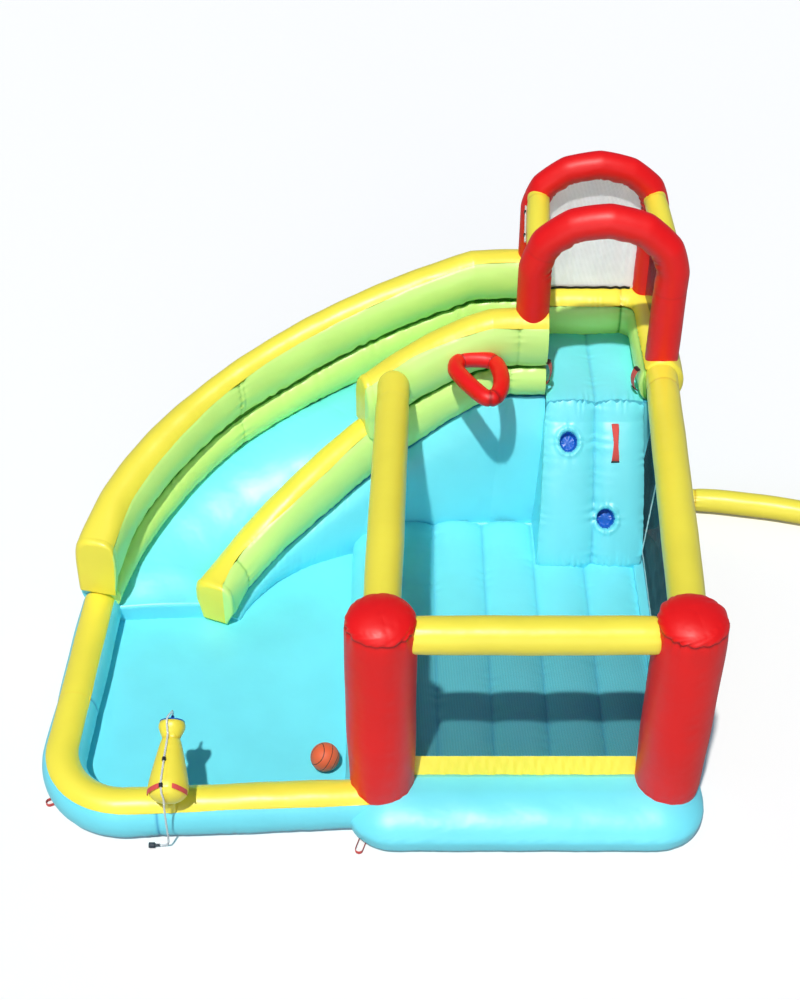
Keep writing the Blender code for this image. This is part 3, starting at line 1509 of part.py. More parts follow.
    stalk = make_cannon()
    seat(stalk, *pool_wall)
    make_hoses()
    make_connector()
    for name, turn in (("cannon_left_handle", -62), ("cannon_right_handle", 62)):
        start = on_barrel(0.005, turn + math.copysign(20, turn))
        end = on_barrel(0.005, turn - math.copysign(24, turn))
        middle = on_barrel(0.005, turn)
        out = (middle - CANNON_PLACE).normalized()
        across = cannon_frame() @ Vector((0, 0, 1))
        handle = strap(name, start, end, out, across, 0.038, 0.03, RED_WEBBING, 8)
        pivoted(handle, CANNON_PLACE)

    ball_centre = Vector((BALL_PLACE.x, BALL_PLACE.y, POOL_FLOOR + BALL_RADIUS + 0.0005))

    def round_ball(shape):
        bmesh.ops.create_uvsphere(shape, u_segments=20, v_segments=12, radius=BALL_RADIUS)

    placed(mesh_object("ball", round_ball, BALL_RUBBER), ball_centre)
    make_sleeve(tower)
    start, end = roof_ends[0]
    beside = Vector((-(ROOF_TUBE_RADIUS + HOSE_RADIUS + 0.003), 0.0, 0.0))
    hose_points = [start.lerp(end, share) + beside for share in (0.24, 0.40, 0.60, 0.80)]
    tube("roof_hose", smooth_route(hose_points, 3), HOSE_RADIUS, CLEAR_HOSE, 2)
    for name, share in (("roof_clip_front", 0.34), ("roof_clip_rear", 0.70)):
        hose_clip(name, start.lerp(end, share) + beside, (end - start).normalized(), Vector((-1, 0, 0)))
    clear = HOSE_RADIUS + HOSE_REST
    for name, at in (("cannon_clip_rear", -0.02), ("cannon_clip_front", 0.14)):
        along = barrel_tangent(at, HOSE_TURN, clear)
        centre = on_barrel(at, HOSE_TURN, clear)
        side = along.cross(on_barrel(at, HOSE_TURN, clear + 0.01) - centre).normalized()
        pivoted(hose_clip(name, centre, along, side.cross(along)), CANNON_PLACE)

    turn = math.radians(207)
    out = Vector((math.cos(turn), math.sin(turn)))
    corner = Vector((POOL_LEFT + POOL_CORNER, POOL_FRONT + POOL_CORNER)) + out * (POOL_CORNER + 0.07)
    anchor_loop("anchor_pool", corner, out, pool_wall)
    left_foot = (-BASE_WIDTH / 2 + 0.11, -half_depth + 0.10)
    anchor_loop("anchor_left", left_foot, (-0.3, -1), [base, *pool_wall])
    back, back_out = slide_place(OUTER_REACH, 0.82)
    anchor_loop("anchor_slide", back + back_out * OUTER_HALF_WIDTH[1], back_out, [slide_body])


main()
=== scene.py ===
# %% [markdown]
# # An inflatable bounce house, dressed for its picture
# The measured model gives every chamber, net, strap and fitting its place. This lesson makes what the eye
# sees: coated cloth that is blown tight and gathers at its seams, fine nets, webbing, a clear hose and a ball.
# Everything is in metres, +Z up, with the origin at the centre of the bounce base's underside.

# %% Load the measured model
import math

import bpy
import numpy as np
from mathutils import Matrix, Vector


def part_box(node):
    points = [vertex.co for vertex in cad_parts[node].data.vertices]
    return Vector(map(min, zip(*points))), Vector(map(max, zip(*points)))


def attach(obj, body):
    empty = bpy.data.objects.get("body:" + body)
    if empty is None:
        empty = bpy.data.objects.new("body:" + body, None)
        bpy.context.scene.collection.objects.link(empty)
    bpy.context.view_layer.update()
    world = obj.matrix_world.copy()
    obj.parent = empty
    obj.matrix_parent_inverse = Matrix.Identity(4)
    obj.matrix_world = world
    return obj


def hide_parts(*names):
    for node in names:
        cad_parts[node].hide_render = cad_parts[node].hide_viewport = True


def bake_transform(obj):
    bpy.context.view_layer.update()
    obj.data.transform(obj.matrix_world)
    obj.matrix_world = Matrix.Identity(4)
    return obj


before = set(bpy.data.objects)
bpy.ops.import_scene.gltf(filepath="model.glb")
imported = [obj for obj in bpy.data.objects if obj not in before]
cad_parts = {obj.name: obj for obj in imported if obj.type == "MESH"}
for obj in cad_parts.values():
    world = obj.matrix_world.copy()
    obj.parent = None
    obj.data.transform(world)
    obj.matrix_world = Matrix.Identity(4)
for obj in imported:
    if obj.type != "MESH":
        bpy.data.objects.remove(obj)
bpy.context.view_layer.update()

# %% [markdown]
# The camera comes first, because every later choice of detail depends on what it sees. It looks down at
# 41.5 degrees from in front, with the focal length that makes the far arch as small as it is in the picture.

# %% Camera
CAMERA_PLACE, CAMERA_PITCH, CAMERA_LENS = (-0.7425, -7.257, 8.0), 48.5, 59.04
camera = bpy.data.cameras.new("camera")
camera.lens = CAMERA_LENS
camera.sensor_width = 36.0
camera_object = bpy.data.objects.new("camera", camera)
camera_object.location = CAMERA_PLACE
camera_object.rotation_euler = (math.radians(CAMERA_PITCH), 0.0, 0.0)
bpy.context.scene.collection.objects.link(camera_object)
bpy.context.scene.camera = camera_object
print("camera at", CAMERA_PLACE)

# %% [markdown]
# Three tools for curves. `evenly` walks along a line in equal steps, and `through` bends a smooth curve
# (a Catmull-Rom spline) through a few points. `sweep` sets a circle square to each step of a path, which
# is how a hose, a rail and an arch are made.


# %% Curves and sweeps
def mix(low, high, share):
    return low + (high - low) * share


def ease(value):
    value = np.clip(value, 0.0, 1.0)
    return value * value * (3 - 2 * value)


def unit(vectors):
    return vectors / np.maximum(np.linalg.norm(vectors, axis=-1, keepdims=True), 1e-9)


def blunt(value, power):
    """A sine or cosine with its sides flattened, so that a circle turns into a rounded box."""
    return np.sign(value) * np.abs(value) ** power


def arrays(*items):
    return (np.array(tuple(item), float) for item in items)


def evenly(line, spacing=None, count=None):
    line = np.asarray(line, float)
    run = np.r_[0.0, np.cumsum(np.linalg.norm(np.diff(line, axis=0), axis=1))]
    count = count or max(2, int(round(run[-1] / spacing)) + 1)
    at = np.linspace(0.0, run[-1], count)
    return np.stack([np.interp(at, run, line[:, k]) for k in range(3)], 1)


def between(a, b, c, d, share):
    """The spline's curve from b to c, with a and d as the points beyond them."""
    cubic = (2 * a - 5 * b + 4 * c - d) * share**2 + (3 * b - a - 3 * c + d) * share**3
    return 0.5 * (2 * b + (c - a) * share + cubic)


def through(points, spacing, steps=24):
    points = np.array([tuple(point) for point in points], float)
    held = np.vstack([2 * points[:1] - points[1:2], points, 2 * points[-1:] - points[-2:-1]])
    share = np.linspace(0.0, 1.0, steps, endpoint=False)[:, None]
    line = [between(*held[k : k + 4], share) for k in range(len(points) - 1)]
    return evenly(np.vstack([*line, points[-1:]]), spacing)


def sweep(path, radius, count=32, up=None, loop=False):
    path = np.asarray(path, float)
    ahead = unit(np.roll(path, -1, 0) - np.roll(path, 1, 0) if loop else np.gradient(path, axis=0))
    if up is None:
        side = [unit(np.cross(ahead[0], (0.31, 0.17, 0.93)))]
        for direction in ahead[1:]:
            side.append(unit(side[-1] - direction * np.dot(side[-1], direction)))
        side = np.array(side)
    else:
        side = unit(np.cross(ahead, up))
    lift = np.cross(side, ahead)
    turn = np.linspace(0.0, 2 * math.pi, count, endpoint=False)[None, :, None]
    size = np.broadcast_to(np.asarray(radius, float), len(path))[:, None, None]
    return path[:, None] + size * (np.cos(turn) * side[:, None] + np.sin(turn) * lift[:, None])


def turned(profile, centre, count=96):
    """A profile of radius and height, turned about an upright axis as on a lathe."""
    angle = np.linspace(0, 2 * math.pi, count, endpoint=False)
    r, z = np.array(profile).T
    grid = [r[:, None] * np.cos(angle), r[:, None] * np.sin(angle), z[:, None] + 0 * angle]
    return np.stack(grid, -1) + np.array(centre)


print("a quarter circle through three points:", len(through([(1, 0, 0), (0.7, 0.7, 0), (0, 1, 0)], 0.1)))

# %% [markdown]
# A skin is a grid of points made into a mesh: rows run along the piece and columns round it. Its UV map is
# in metres, so that a pattern keeps its real size, and `near_seam` tells the material where it darkens the
# cloth: the thread, and painted shade in the gathers beside it. An open sheet says which way it faces with
# `towards`.


# %% Skins
SHARP = math.radians(48)


def distances(grid):
    run = np.r_[0.0, np.cumsum(np.linalg.norm(np.diff(grid, axis=0), axis=2).mean(1))]
    about = np.cumsum(np.linalg.norm(np.diff(grid, axis=1), axis=2), axis=1)
    return run, np.c_[np.zeros(len(grid)), about]


def facing(grid, around=True, loop=False, towards=None):
    across = np.roll(grid, -1, 1) - np.roll(grid, 1, 1) if around else np.gradient(grid, axis=1)
    ahead = np.roll(grid, -1, 0) - np.roll(grid, 1, 0) if loop else np.gradient(grid, axis=0)
    normal = unit(np.cross(across, ahead))
    outward = grid - grid.mean(1, keepdims=True) if towards is None else np.array(towards, float)
    inside_out = (normal * outward).sum() < 0
    return (-normal if inside_out else normal), inside_out


def skin(name, grid, around=True, ends=True, loop=False, near=None, towards=None):
    rows, columns = grid.shape[:2]
    inside_out = facing(grid, around, loop, towards)[1]
    i, j = np.meshgrid(np.arange(rows - (not loop)), np.arange(columns - (not around)), indexing="ij")
    i, j = i.ravel(), j.ravel()
    below, beside = (i + 1) % rows, (j + 1) % columns
    quads = [i * columns + j, i * columns + beside, below * columns + beside, below * columns + j]
    quads = np.stack(quads, 1)
    run, about = distances(grid)
    closing = np.linalg.norm(grid[:, 0] - grid[:, -1], axis=1)
    run = np.r_[run, run[-1] + np.linalg.norm(grid[0] - grid[-1], axis=1).mean()]
    about = np.c_[about, about[:, -1] + closing]
    wide = np.broadcast_to(about.mean(0), about.shape)
    u = np.stack([run[i], run[i], run[i + 1], run[i + 1]], 1)
    v = np.stack([wide[i, j], wide[i, j + 1], wide[i, j + 1], wide[i, j]], 1)
    if inside_out:
        quads, u, v = quads[:, ::-1], u[:, ::-1], v[:, ::-1]
    faces = quads.tolist()
    places = np.stack([u, v], -1).reshape(-1, 2)
    if ends and around and not loop:
        first, last = list(range(columns)), list(range((rows - 1) * columns, rows * columns))
        faces += [first, last[::-1]] if inside_out else [first[::-1], last]
        places = np.vstack([places, np.zeros((2 * columns, 2))])
    mesh = bpy.data.meshes.new(name)
    mesh.from_pydata(grid.reshape(-1, 3).tolist(), [], faces)
    mesh.uv_layers.new(name="metres").data.foreach_set("uv", places.astype(np.float32).ravel())
    seam = mesh.attributes.new("near_seam", "FLOAT", "POINT")
    if near is not None:
        seam.data.foreach_set("value", np.broadcast_to(near, (rows, columns)).astype(np.float32).ravel())
    mesh.shade_smooth()
    mesh.set_sharp_from_angle(angle=SHARP)
    piece = bpy.data.objects.new(name, mesh)
    bpy.context.scene.collection.objects.link(piece)
    return piece


def domed(grid, reach, rows=7, least=0.4):
    """Round off the last row of a tube with a few smaller rings."""
    ring, centre = grid[-1], grid[-1].mean(0)
    out = unit(centre - grid[-2].mean(0))
    turn = np.radians(np.linspace(12, 86, rows))[:, None, None]
    cap = centre + out * reach * np.sin(turn) + (ring - centre) * mix(least, 1.0, np.cos(turn))
    return np.vstack([grid, cap])


print("edges sharper than", round(math.degrees(SHARP)), "degrees stay sharp")

# %% [markdown]
# Materials start with three helpers. One turns sRGB hex values, as a picture shows them, into the linear
# colours that the renderer counts with. One adds a node with its settings and links. The third gives a
# new material its roughness and IOR, which for all these plastics is near 1.5.


# %% Colours and nodes
def linear(code):
    values = [int(code[k : k + 2], 16) / 255 for k in (1, 3, 5)]
    return tuple(v / 12.92 if v <= 0.04045 else ((v + 0.055) / 1.055) ** 2.4 for v in values)


def node(tree, kind, settings=None, links=None):
    made = tree.nodes.new(kind)
    for key, value in (settings or {}).items():
        if isinstance(key, int):
            made.inputs[key].default_value = value
        else:
            setattr(made, key, value)
    for key, source in (links or {}).items():
        tree.links.new(source, made.inputs[key])
    return made


def blank(name, roughness, ior=1.5, **values):
    made = bpy.data.materials.new(name)
    made.use_nodes = True
    shader = made.node_tree.nodes["Principled BSDF"]
    shader.inputs["Roughness"].default_value = roughness
    shader.inputs["IOR"].default_value = ior
    for key, value in values.items():
        shader.inputs[key.replace("_", " ").title()].default_value = value
    return made, made.node_tree, shader


print("mid grey #808080 is", round(linear("#808080")[0], 3), "in linear light")

# %% [markdown]
# The chambers are cut from PVC-coated oxford polyester: a plain weave of half-millimetre threads under a
# thin glossy coat, so that it shines softly and shows no grain from a few metres. The colour drifts by a
# few hundredths, as dyed cloth does. At the sewn seams it darkens: partly the thread, partly painted shade
# in the gathers there. The bumps have two sizes: soft dents about 90 mm wide where the air pushes unevenly,
# and fine creases of 20 mm that fade away from a seam.
# The weave is half a millimetre in life and drawn at 3 mm, or no pixel would show it. The red cloth of
# posts and arches is duller than the rest.


# %% PVC-coated oxford polyester
WEAVE_SCALE, DENT_SCALE, CREASE_SCALE = 105.0, 11.0, 48.0
DENT_DEPTH, WEAVE_DEPTH, COAT_ROUGHNESS = 0.006, 0.0002, 0.28


def coated_oxford(name, colour, thread_and_shade_colour, roughness=0.36, coat=0.10):
    made, tree, shader = blank(name, roughness, 1.53, coat_weight=coat, coat_roughness=COAT_ROUGHNESS)
    place = node(tree, "ShaderNodeTexCoord")
    seam = node(tree, "ShaderNodeAttribute", {"attribute_name": "near_seam"})
    drift = node(tree, "ShaderNodeTexNoise", {2: 1.7, 3: 3.0}, {0: place.outputs["Object"]})
    ramp = node(tree, "ShaderNodeMapRange", {1: 0.3, 2: 0.7, 3: 0.94, 4: 1.04}, {0: drift.outputs[0]})
    # Near a seam the colour turns to the seam colour: the thread, and painted shade in the gathers.
    colours = {"data_type": "RGBA", 6: (*linear(colour), 1), 7: (*linear(thread_and_shade_colour), 1)}
    share = node(tree, "ShaderNodeMath", {"operation": "MULTIPLY", 1: 0.9}, {0: seam.outputs["Fac"]})
    plain = node(tree, "ShaderNodeMix", colours, {0: share.outputs[0]})
    scaled = {0: plain.outputs[2], 3: ramp.outputs[0]}
    tint = node(tree, "ShaderNodeVectorMath", {"operation": "SCALE"}, scaled)
    tree.links.new(tint.outputs[0], shader.inputs["Base Color"])
    gloss = node(tree, "ShaderNodeTexNoise", {2: 6.0, 3: 2.0}, {0: place.outputs["Object"]})
    uneven = {3: roughness - 0.05, 4: roughness + 0.08}
    rough = node(tree, "ShaderNodeMapRange", uneven, {0: gloss.outputs[0]})
    tree.links.new(rough.outputs[0], shader.inputs["Roughness"])
    dents = node(tree, "ShaderNodeTexNoise", {2: DENT_SCALE, 3: 1.5}, {0: place.outputs["Object"]})
    creases = node(tree, "ShaderNodeTexNoise", {2: CREASE_SCALE, 3: 2.0}, {0: place.outputs["Object"]})
    both = {0: creases.outputs[0], 1: seam.outputs["Fac"]}
    near = node(tree, "ShaderNodeMath", {"operation": "MULTIPLY"}, both)
    warp = node(tree, "ShaderNodeTexWave", {1: WEAVE_SCALE}, {0: place.outputs["UV"]})
    crosswise = {"bands_direction": "Y", 1: WEAVE_SCALE}
    weft = node(tree, "ShaderNodeTexWave", crosswise, {0: place.outputs["UV"]})
    both = {0: warp.outputs[1], 1: weft.outputs[1]}
    weave = node(tree, "ShaderNodeMath", {"operation": "MULTIPLY"}, both)
    normal = None
    layers = (dents, 0.5, DENT_DEPTH), (near, 0.8, DENT_DEPTH), (weave, 0.3, WEAVE_DEPTH)
    for height, strength, depth in layers:
        links = {"Height": height.outputs[0]} | ({"Normal": normal} if normal else {})
        normal = node(tree, "ShaderNodeBump", {0: strength, 1: depth}, links).outputs[0]
    tree.links.new(normal, shader.inputs["Normal"])
    return made


# Each second colour is the seam colour: the thread, and painted shade in the gathers beside it.
blue_oxford = coated_oxford("blue_pvc_coated_oxford", "#7AEDFC", "#1689C8")
green_oxford = coated_oxford("green_pvc_coated_oxford", "#D8FF8C", "#2BA016")
yellow_oxford = coated_oxford("yellow_pvc_coated_oxford", "#FFEE4A", "#E0B41C")
red_oxford = coated_oxford("red_pvc_coated_oxford", "#F20804", "#A00808", 0.46, 0.02)
# Painted shade: this darker blue goes inside the climbing wall's pits, for the shade in them.
pit_shade_oxford = coated_oxford("pit_shade_pvc_coated_oxford", "#1266C8", "#0B3F88", 0.40)
print("cloth finishes", len(bpy.data.materials))

# %% [markdown]
# The safety nets are knotless polyester, black with a little blue, with holes of about 4 mm. A hole that
# small is under a pixel here, so the mesh is drawn at 9 mm. A soft ramp across each thread lets as much
# light through as the real net, without a hard grid that would flicker. The net along the right side is so
# dense that it looks nearly solid, and the back mesh is white.


# %% Knotless polyester net
def patterned(tree, shader, pattern, colour, shades, bump=None):
    """Shade a colour by a pattern, and with bump (strength and depth) raise the surface by it too."""
    shade = node(tree, "ShaderNodeMapRange", {3: shades[0], 4: shades[1]}, {0: pattern})
    scaled = {"operation": "SCALE", 0: linear(colour)}
    tint = node(tree, "ShaderNodeVectorMath", scaled, {3: shade.outputs[0]})
    tree.links.new(tint.outputs[0], shader.inputs["Base Color"])
    if bump:
        raised = node(tree, "ShaderNodeBump", {0: bump[0], 1: bump[1]}, {"Height": pattern})
        tree.links.new(raised.outputs[0], shader.inputs["Normal"])


NET_PITCH = 0.009


def knotless_net(name, colour, strand):
    made, tree, shader = blank(name, 0.75, 1.5)
    place = node(tree, "ShaderNodeTexCoord")
    pitch = {"operation": "SCALE", 3: 1 / NET_PITCH}
    scaled = node(tree, "ShaderNodeVectorMath", pitch, {0: place.outputs["UV"]})
    parts = node(tree, "ShaderNodeSeparateXYZ", {}, {0: scaled.outputs[0]})
    threads = {}
    for axis in (0, 1):
        wave = node(tree, "ShaderNodeMath", {"operation": "PINGPONG", 1: 0.5}, {0: parts.outputs[axis]})
        veil = {1: 0.0, 2: 0.5, 3: min(1.0, 1.5 * strand), 4: 0.5 * strand}
        threads[axis] = node(tree, "ShaderNodeMapRange", veil, {0: wave.outputs[0]}).outputs[0]
    solid = node(tree, "ShaderNodeMath", {"operation": "MAXIMUM"}, threads)
    tree.links.new(solid.outputs[0], shader.inputs["Alpha"])
    drift = node(tree, "ShaderNodeTexNoise", {2: 5.0}, {0: place.outputs["Object"]})
    patterned(tree, shader, drift.outputs[0], colour, (0.8, 1.2))
    return made


dark_net = knotless_net("dark_knotless_polyester_net", "#04284C", 0.40)
dense_net = knotless_net("dense_knotless_polyester_net", "#050C12", 0.95)
white_mesh = knotless_net("white_polyester_mesh", "#F8F8FA", 0.80)
print("net pitch", NET_PITCH, "m")

# %% [markdown]
# Handles and loops are polypropylene webbing: a ribbed weave with a dull sheen, whose ribs of 2 mm are
# drawn at 4 mm. The buckles, the hose's connector and the cannon's cap are moulded plastic with the fine
# grain of their mould, and the hose is clear soft PVC, which is a little milky.


# %% Webbing, moulded plastic and hose
RIB_SCALE, GRAIN_SCALE = 78.0, 260.0


def webbing(name, colour):
    made, tree, shader = blank(name, 0.7, 1.5, sheen_weight=0.15)
    place = node(tree, "ShaderNodeTexCoord")
    ribs = node(tree, "ShaderNodeTexWave", {1: RIB_SCALE, 2: 1.5}, {0: place.outputs["UV"]})
    patterned(tree, shader, ribs.outputs[1], colour, (0.8, 1.05), (0.6, 0.0006))
    return made


def moulded(name, colour, roughness, **values):
    made, tree, shader = blank(name, roughness, 1.49, **values)
    place = node(tree, "ShaderNodeTexCoord")
    grain = node(tree, "ShaderNodeTexNoise", {2: GRAIN_SCALE, 3: 2.0}, {0: place.outputs["Object"]})
    patterned(tree, shader, grain.outputs[0], colour, (0.92, 1.06), (0.25, 0.0004))
    return made


coral_webbing = webbing("coral_polypropylene_webbing", "#E8504A")
black_webbing = webbing("black_polypropylene_webbing", "#191A1D")
white_binding = webbing("white_polyester_binding", "#E9ECEC")
buckle_plastic = moulded("dark_moulded_acetal", "#3A1F22", 0.45)
cap_plastic = moulded("blue_moulded_polypropylene", "#1C5FC0", 0.34)
connector_plastic = moulded("dark_moulded_polypropylene", "#22323F", 0.4)
clear_pvc = moulded("clear_soft_pvc", "#F4F8FA", 0.22, transmission_weight=0.40)
thread_black = moulded("black_sewing_thread", "#15171A", 0.8)
print("materials", len(bpy.data.materials))

# %% [markdown]
# `dress` gives a piece its material, hides the plain solid that it stands for and lets it ride on its body.

# %% Dressing the pieces
faces_made = {}


def dress(piece, finish, nodes=(), body="frame"):
    piece.data.materials.append(finish)
    if nodes:
        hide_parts(*([nodes] if isinstance(nodes, str) else nodes))
    if body:
        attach(piece, body)
    faces_made[piece.name] = len(piece.data.polygons)
    return piece


# %% [markdown]
# The water hose runs over the cannon's barrel and hangs from its tail to a quick connector on the ground.
# It is the only free cord, and the picture shows it from end to end. The barrel's shape comes with it,
# because the hose lies on the barrel: a round belly that narrows to a neck and flares to the nozzle.

# %% The cannon's measures
CANNON, CANNON_PITCH = Vector((-2.085, -1.245, 0.458)), 23.0
BELLY, REAR, NECK, NECK_AT, HEAD, LENGTH = 0.12, 0.095, 0.0575, 0.29, 0.079, 0.39
HOSE, REST, HAIR = 0.006, 0.003, 0.0003
HOSE_SIDE, HOSE_CLEAR = -12, HOSE + REST
tilt = Matrix.Rotation(math.radians(CANNON_PITCH - 90), 3, "X")


def barrel_radius(at):
    if at < 0:
        return BELLY * math.sqrt(max(0.0, 1 - abs(at / REAR) ** 2.4))
    if at < NECK_AT:
        return mix(BELLY, NECK, (at / NECK_AT) ** 1.15)
    share = (at - NECK_AT) / (LENGTH - NECK_AT)
    return mix(NECK, HEAD, float(ease(share * 1.35))) - 0.006 * max(0.0, share - 0.85) / 0.15


def on_barrel(at, turn=HOSE_SIDE, clear=0.0):
    """The point on the barrel at a length along it and a turn about it in degrees, 0 on top."""
    angle, radius = math.radians(turn), barrel_radius(at) + clear
    return CANNON + tilt @ Vector((radius * math.sin(angle), -radius * math.cos(angle), at))


def hose_point(at, raised=0.0):
    return on_barrel(at, clear=HOSE_CLEAR + raised)


def hose_direction(at):
    return (hose_point(at + 0.01) - hose_point(at - 0.01)).normalized()


print("barrel", LENGTH + REAR, "m long, belly", 2 * BELLY, "m across")

# %% [markdown]
# A hose this soft hangs almost straight and turns on the ground in one even bend. Its route is a handful of
# points joined by a smooth curve, and the tube is a circle swept along it.

# %% The free hose
seam = hose_point(-0.045)
along = hose_direction(-0.045)
CONNECTOR = Vector((-2.215, -1.325, 0.018))
hose_end = CONNECTOR + Vector((0.05 + HAIR, 0.0, 0.0))
behind = hose_point(-0.088).y - 0.004
marks = [seam - along * 0.008, hose_point(-0.07, 0.004), hose_point(-0.088, 0.008)]
for across, out, up in ((0.008, -0.004, 0.40), (0.006, -0.002, 0.28), (0.004, 0.004, 0.16)):
    marks.append(Vector((seam.x + across, behind + out, up)))
marks += [Vector((seam.x, behind + 0.012, 0.07)), Vector((seam.x - 0.015, hose_end.y, 0.024))]
marks.append(hose_end + Vector((0.012, 0.0, 0.0)))
hose_path = np.vstack([tuple(seam - along * HAIR), through(marks, 0.017), tuple(hose_end)])
free_hose = skin("free_water_hose", sweep(hose_path, HOSE, 20))
dress(free_hose, clear_pvc, "cannon_hose_free", body=None)
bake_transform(free_hose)

# %% [markdown]
# Blown-up cloth is tight in the middle of a panel and gathered where it is sewn. Cloth simulation could find
# those gathers, but on a five-metre toy it would need millions of faces, so they are pushed into the mesh
# here: each seam pulls a groove and a row of uneven little folds that fade away from it, and the panel
# between two cross seams swells by a few millimetres. A seam runs along the piece at one column, and a join
# crosses it at one row.


# %% Folds at the seams
def ripple(at, pitch, seed):
    turn = 2 * math.pi * at / pitch
    wander = 1.4 * np.sin(turn / 3.1 + seed) + 0.9 * np.sin(turn / 7.7 + 2.3 * seed)
    return np.sin(turn + wander) * (0.62 + 0.38 * np.sin(turn / 5.3 + 1.7 * seed))


def unevenness(grid, seed):
    x, y, z = grid[..., 0], grid[..., 1], grid[..., 2]
    broad = np.sin(x * 7.1 + seed) * np.sin(y * 6.3 + 2 * seed + 1.3 * np.sin(z * 5))
    return (broad + 0.5 * np.sin(x * 17 + y * 13 + z * 11 + seed)) / 1.5


def pulled(gap, fade, groove, gather, reach, wave):
    return np.exp(-gap / fade) * gather * (0.5 + 0.5 * wave) + groove * np.exp(-gap / (reach * 0.3))


# How near a point lies to a seam: there the colour darkens for the thread and as painted shade in the groove.
def thread_and_shade(gap, width, groove):
    return np.exp(-((gap / width) ** 2)) * min(1.0, groove / 0.004)


def folded(grid, seams=(), joins=(), slack=0.003, belly=0.004, seed=1.0, **how):
    """seams are (column, groove, gather, reach, pitch) and joins (row, groove, gather, reach, pitch)."""
    normal = facing(grid, **how)[0]
    run, about = distances(grid)
    whole = about[:, -1:] + np.linalg.norm(grid[:, 0] - grid[:, -1], axis=1)[:, None]
    push, near = np.zeros(grid.shape[:2]), np.zeros(grid.shape[:2])
    for column, groove, gather, reach, pitch in seams:
        gap = np.abs(about - about[:, [column]])
        if how.get("around", True):
            gap = np.minimum(gap, whole - gap)
        start = seed + abs(column) * 0.37
        fade = reach * (0.8 + 0.35 * ripple(run, pitch * 2.3, start + 1)[:, None])
        push -= pulled(gap, fade, groove, gather, reach, ripple(run, pitch, start)[:, None])
        # near is where the colour darkens: the thread, and painted shade in the groove.
        near = np.maximum(near, thread_and_shade(gap, 0.011, groove))
    for row, groove, gather, reach, pitch in joins:
        gap = np.abs(run - run[row])[:, None]
        push -= pulled(gap, reach, groove, gather, reach, ripple(about, pitch, seed + row * 0.11))
        near = np.maximum(near, thread_and_shade(gap, 0.008, groove))
    ordered = sorted(range(len(run))[row] for row, *_ in joins)
    rows = [0, *ordered, len(run) - 1]
    for first, last in zip(rows, rows[1:]):
        if last > first and ordered:
            share = np.linspace(-1.0, 1.0, last - first + 1)
            push[first : last + 1] += belly * (1 - np.abs(share) ** 2.6)[:, None]
    push += slack * unevenness(grid, seed)
    return grid + normal * push[..., None], near


def chamber(node_name, grid, finish, seams=(), joins=(), name=None, body="frame", fill=0.95, ends=True, **how):
    """An inflated piece that stands for the node. It is called after it, unless it has a name of its own."""
    shaped, near = folded(grid, seams, joins, **how)
    shaped[..., 2] = np.maximum(shaped[..., 2], 0.0)
    kept = {key: how[key] for key in ("around", "loop", "towards") if key in how}
    piece = skin(name or f"{node_name}_cloth", shaped, ends=ends, near=near, **kept)
    return dress(piece, finish, node_name, body)


LEVEL = {"around": False, "ends": False, "towards": (0, 0, 1)}
print("folds of a seam", np.round(ripple(np.linspace(0, 0.1, 5), 0.05, 1.0), 2))


# %% [markdown]
# The slide. Seen from above, each of its curves is a quarter of an ellipse about one centre, so the whole
# slide is measured by one number `s`: 0 at the pool, 1 at the back, 2 where it meets the tower. What changes
# along it, such as the height of a tube or the place of a seam, is listed as pairs of `s` and value.

# %% The slide's curves
BASE_WIDTH, BASE_DEPTH, BASE_HEIGHT = 2.155, 2.79, 0.28
PLATFORM_HEIGHT, TOWER_LEFT, TOWER_WIDTH, TOWER_FRONT, TOWER_DEPTH = 1.20, 0.2425, 0.90, 1.455, 1.04
SLIDE_CENTRE, SLIDE_END = (0.1075, 0.155), 0.535
OUTER_REACH, INNER_REACH, FOOT_REACH = (2.90, 2.17), (2.16, 1.47), (1.99, 1.15)
LANE_END, LANE_DROP, INNER_STEP, FOOT_SQUARENESS = 0.12, 0.03, 0.607, 2.6
S = np.r_[np.linspace(0.0, 1.0, 400), np.linspace(1.0, 2.0, 16)[1:]]


def slide_place(reach, s, squareness=2.0):
    lowest = math.asin(((SLIDE_END - SLIDE_CENTRE[1]) / reach[1]) ** (squareness / 2))
    angle = mix(lowest, math.pi / 2, np.minimum(s, 1.0))
    level = np.zeros_like(angle)
    x = -reach[0] * np.maximum(np.cos(angle), 0.0) ** (2 / squareness)
    y = SLIDE_CENTRE[1] + reach[1] * np.sin(angle) ** (2 / squareness)
    place = np.stack([SLIDE_CENTRE[0] + x, y, level], 1)
    place[:, 0] = np.where(s > 1, mix(SLIDE_CENTRE[0], TOWER_LEFT, s - 1), place[:, 0])
    out = unit(np.stack([-np.cos(angle) * reach[1], np.sin(angle) * reach[0], level], 1))
    return place, out


def changing(s, *pairs):
    return np.interp(s, *zip(*pairs))


def rise(s):
    share = np.minimum(1.0, 1.096 * s)
    return 0.5 * share**1.15 + 0.5 * ease(share)


def outer_lane(s):
    return mix(0.19, PLATFORM_HEIGHT, np.minimum(1.0, s / 0.98))


def inner_lane(s):
    return mix(LANE_END, PLATFORM_HEIGHT, rise(s) ** 1.2)


def lip_rise(s):
    """The lane's end above the pool is thicker than the slope behind it."""
    return 0.07 * (1 - ease(s / 0.22))


def outer_top(s):
    share = np.minimum(1.0, 1.096 * s)
    return mix(0.77, 1.80, share) - 0.03 * np.sin(math.pi * share)


def outer_half(s):
    return mix(0.12, 0.15, np.minimum(s, 1.0))


def inner_half(s):
    return mix(0.14, 0.15, np.minimum(s, 1.0))


def inner_hang(s):
    """How far the inner wall's green side hangs below the lane, towards the bounce area."""
    pairs = (0.12, 0.0), (0.28, 0.05), (0.39, 0.11), (0.49, 0.14), (0.61, 0.14), (0.735, 0.12), (0.96, 0.0)
    return changing(s, *pairs)


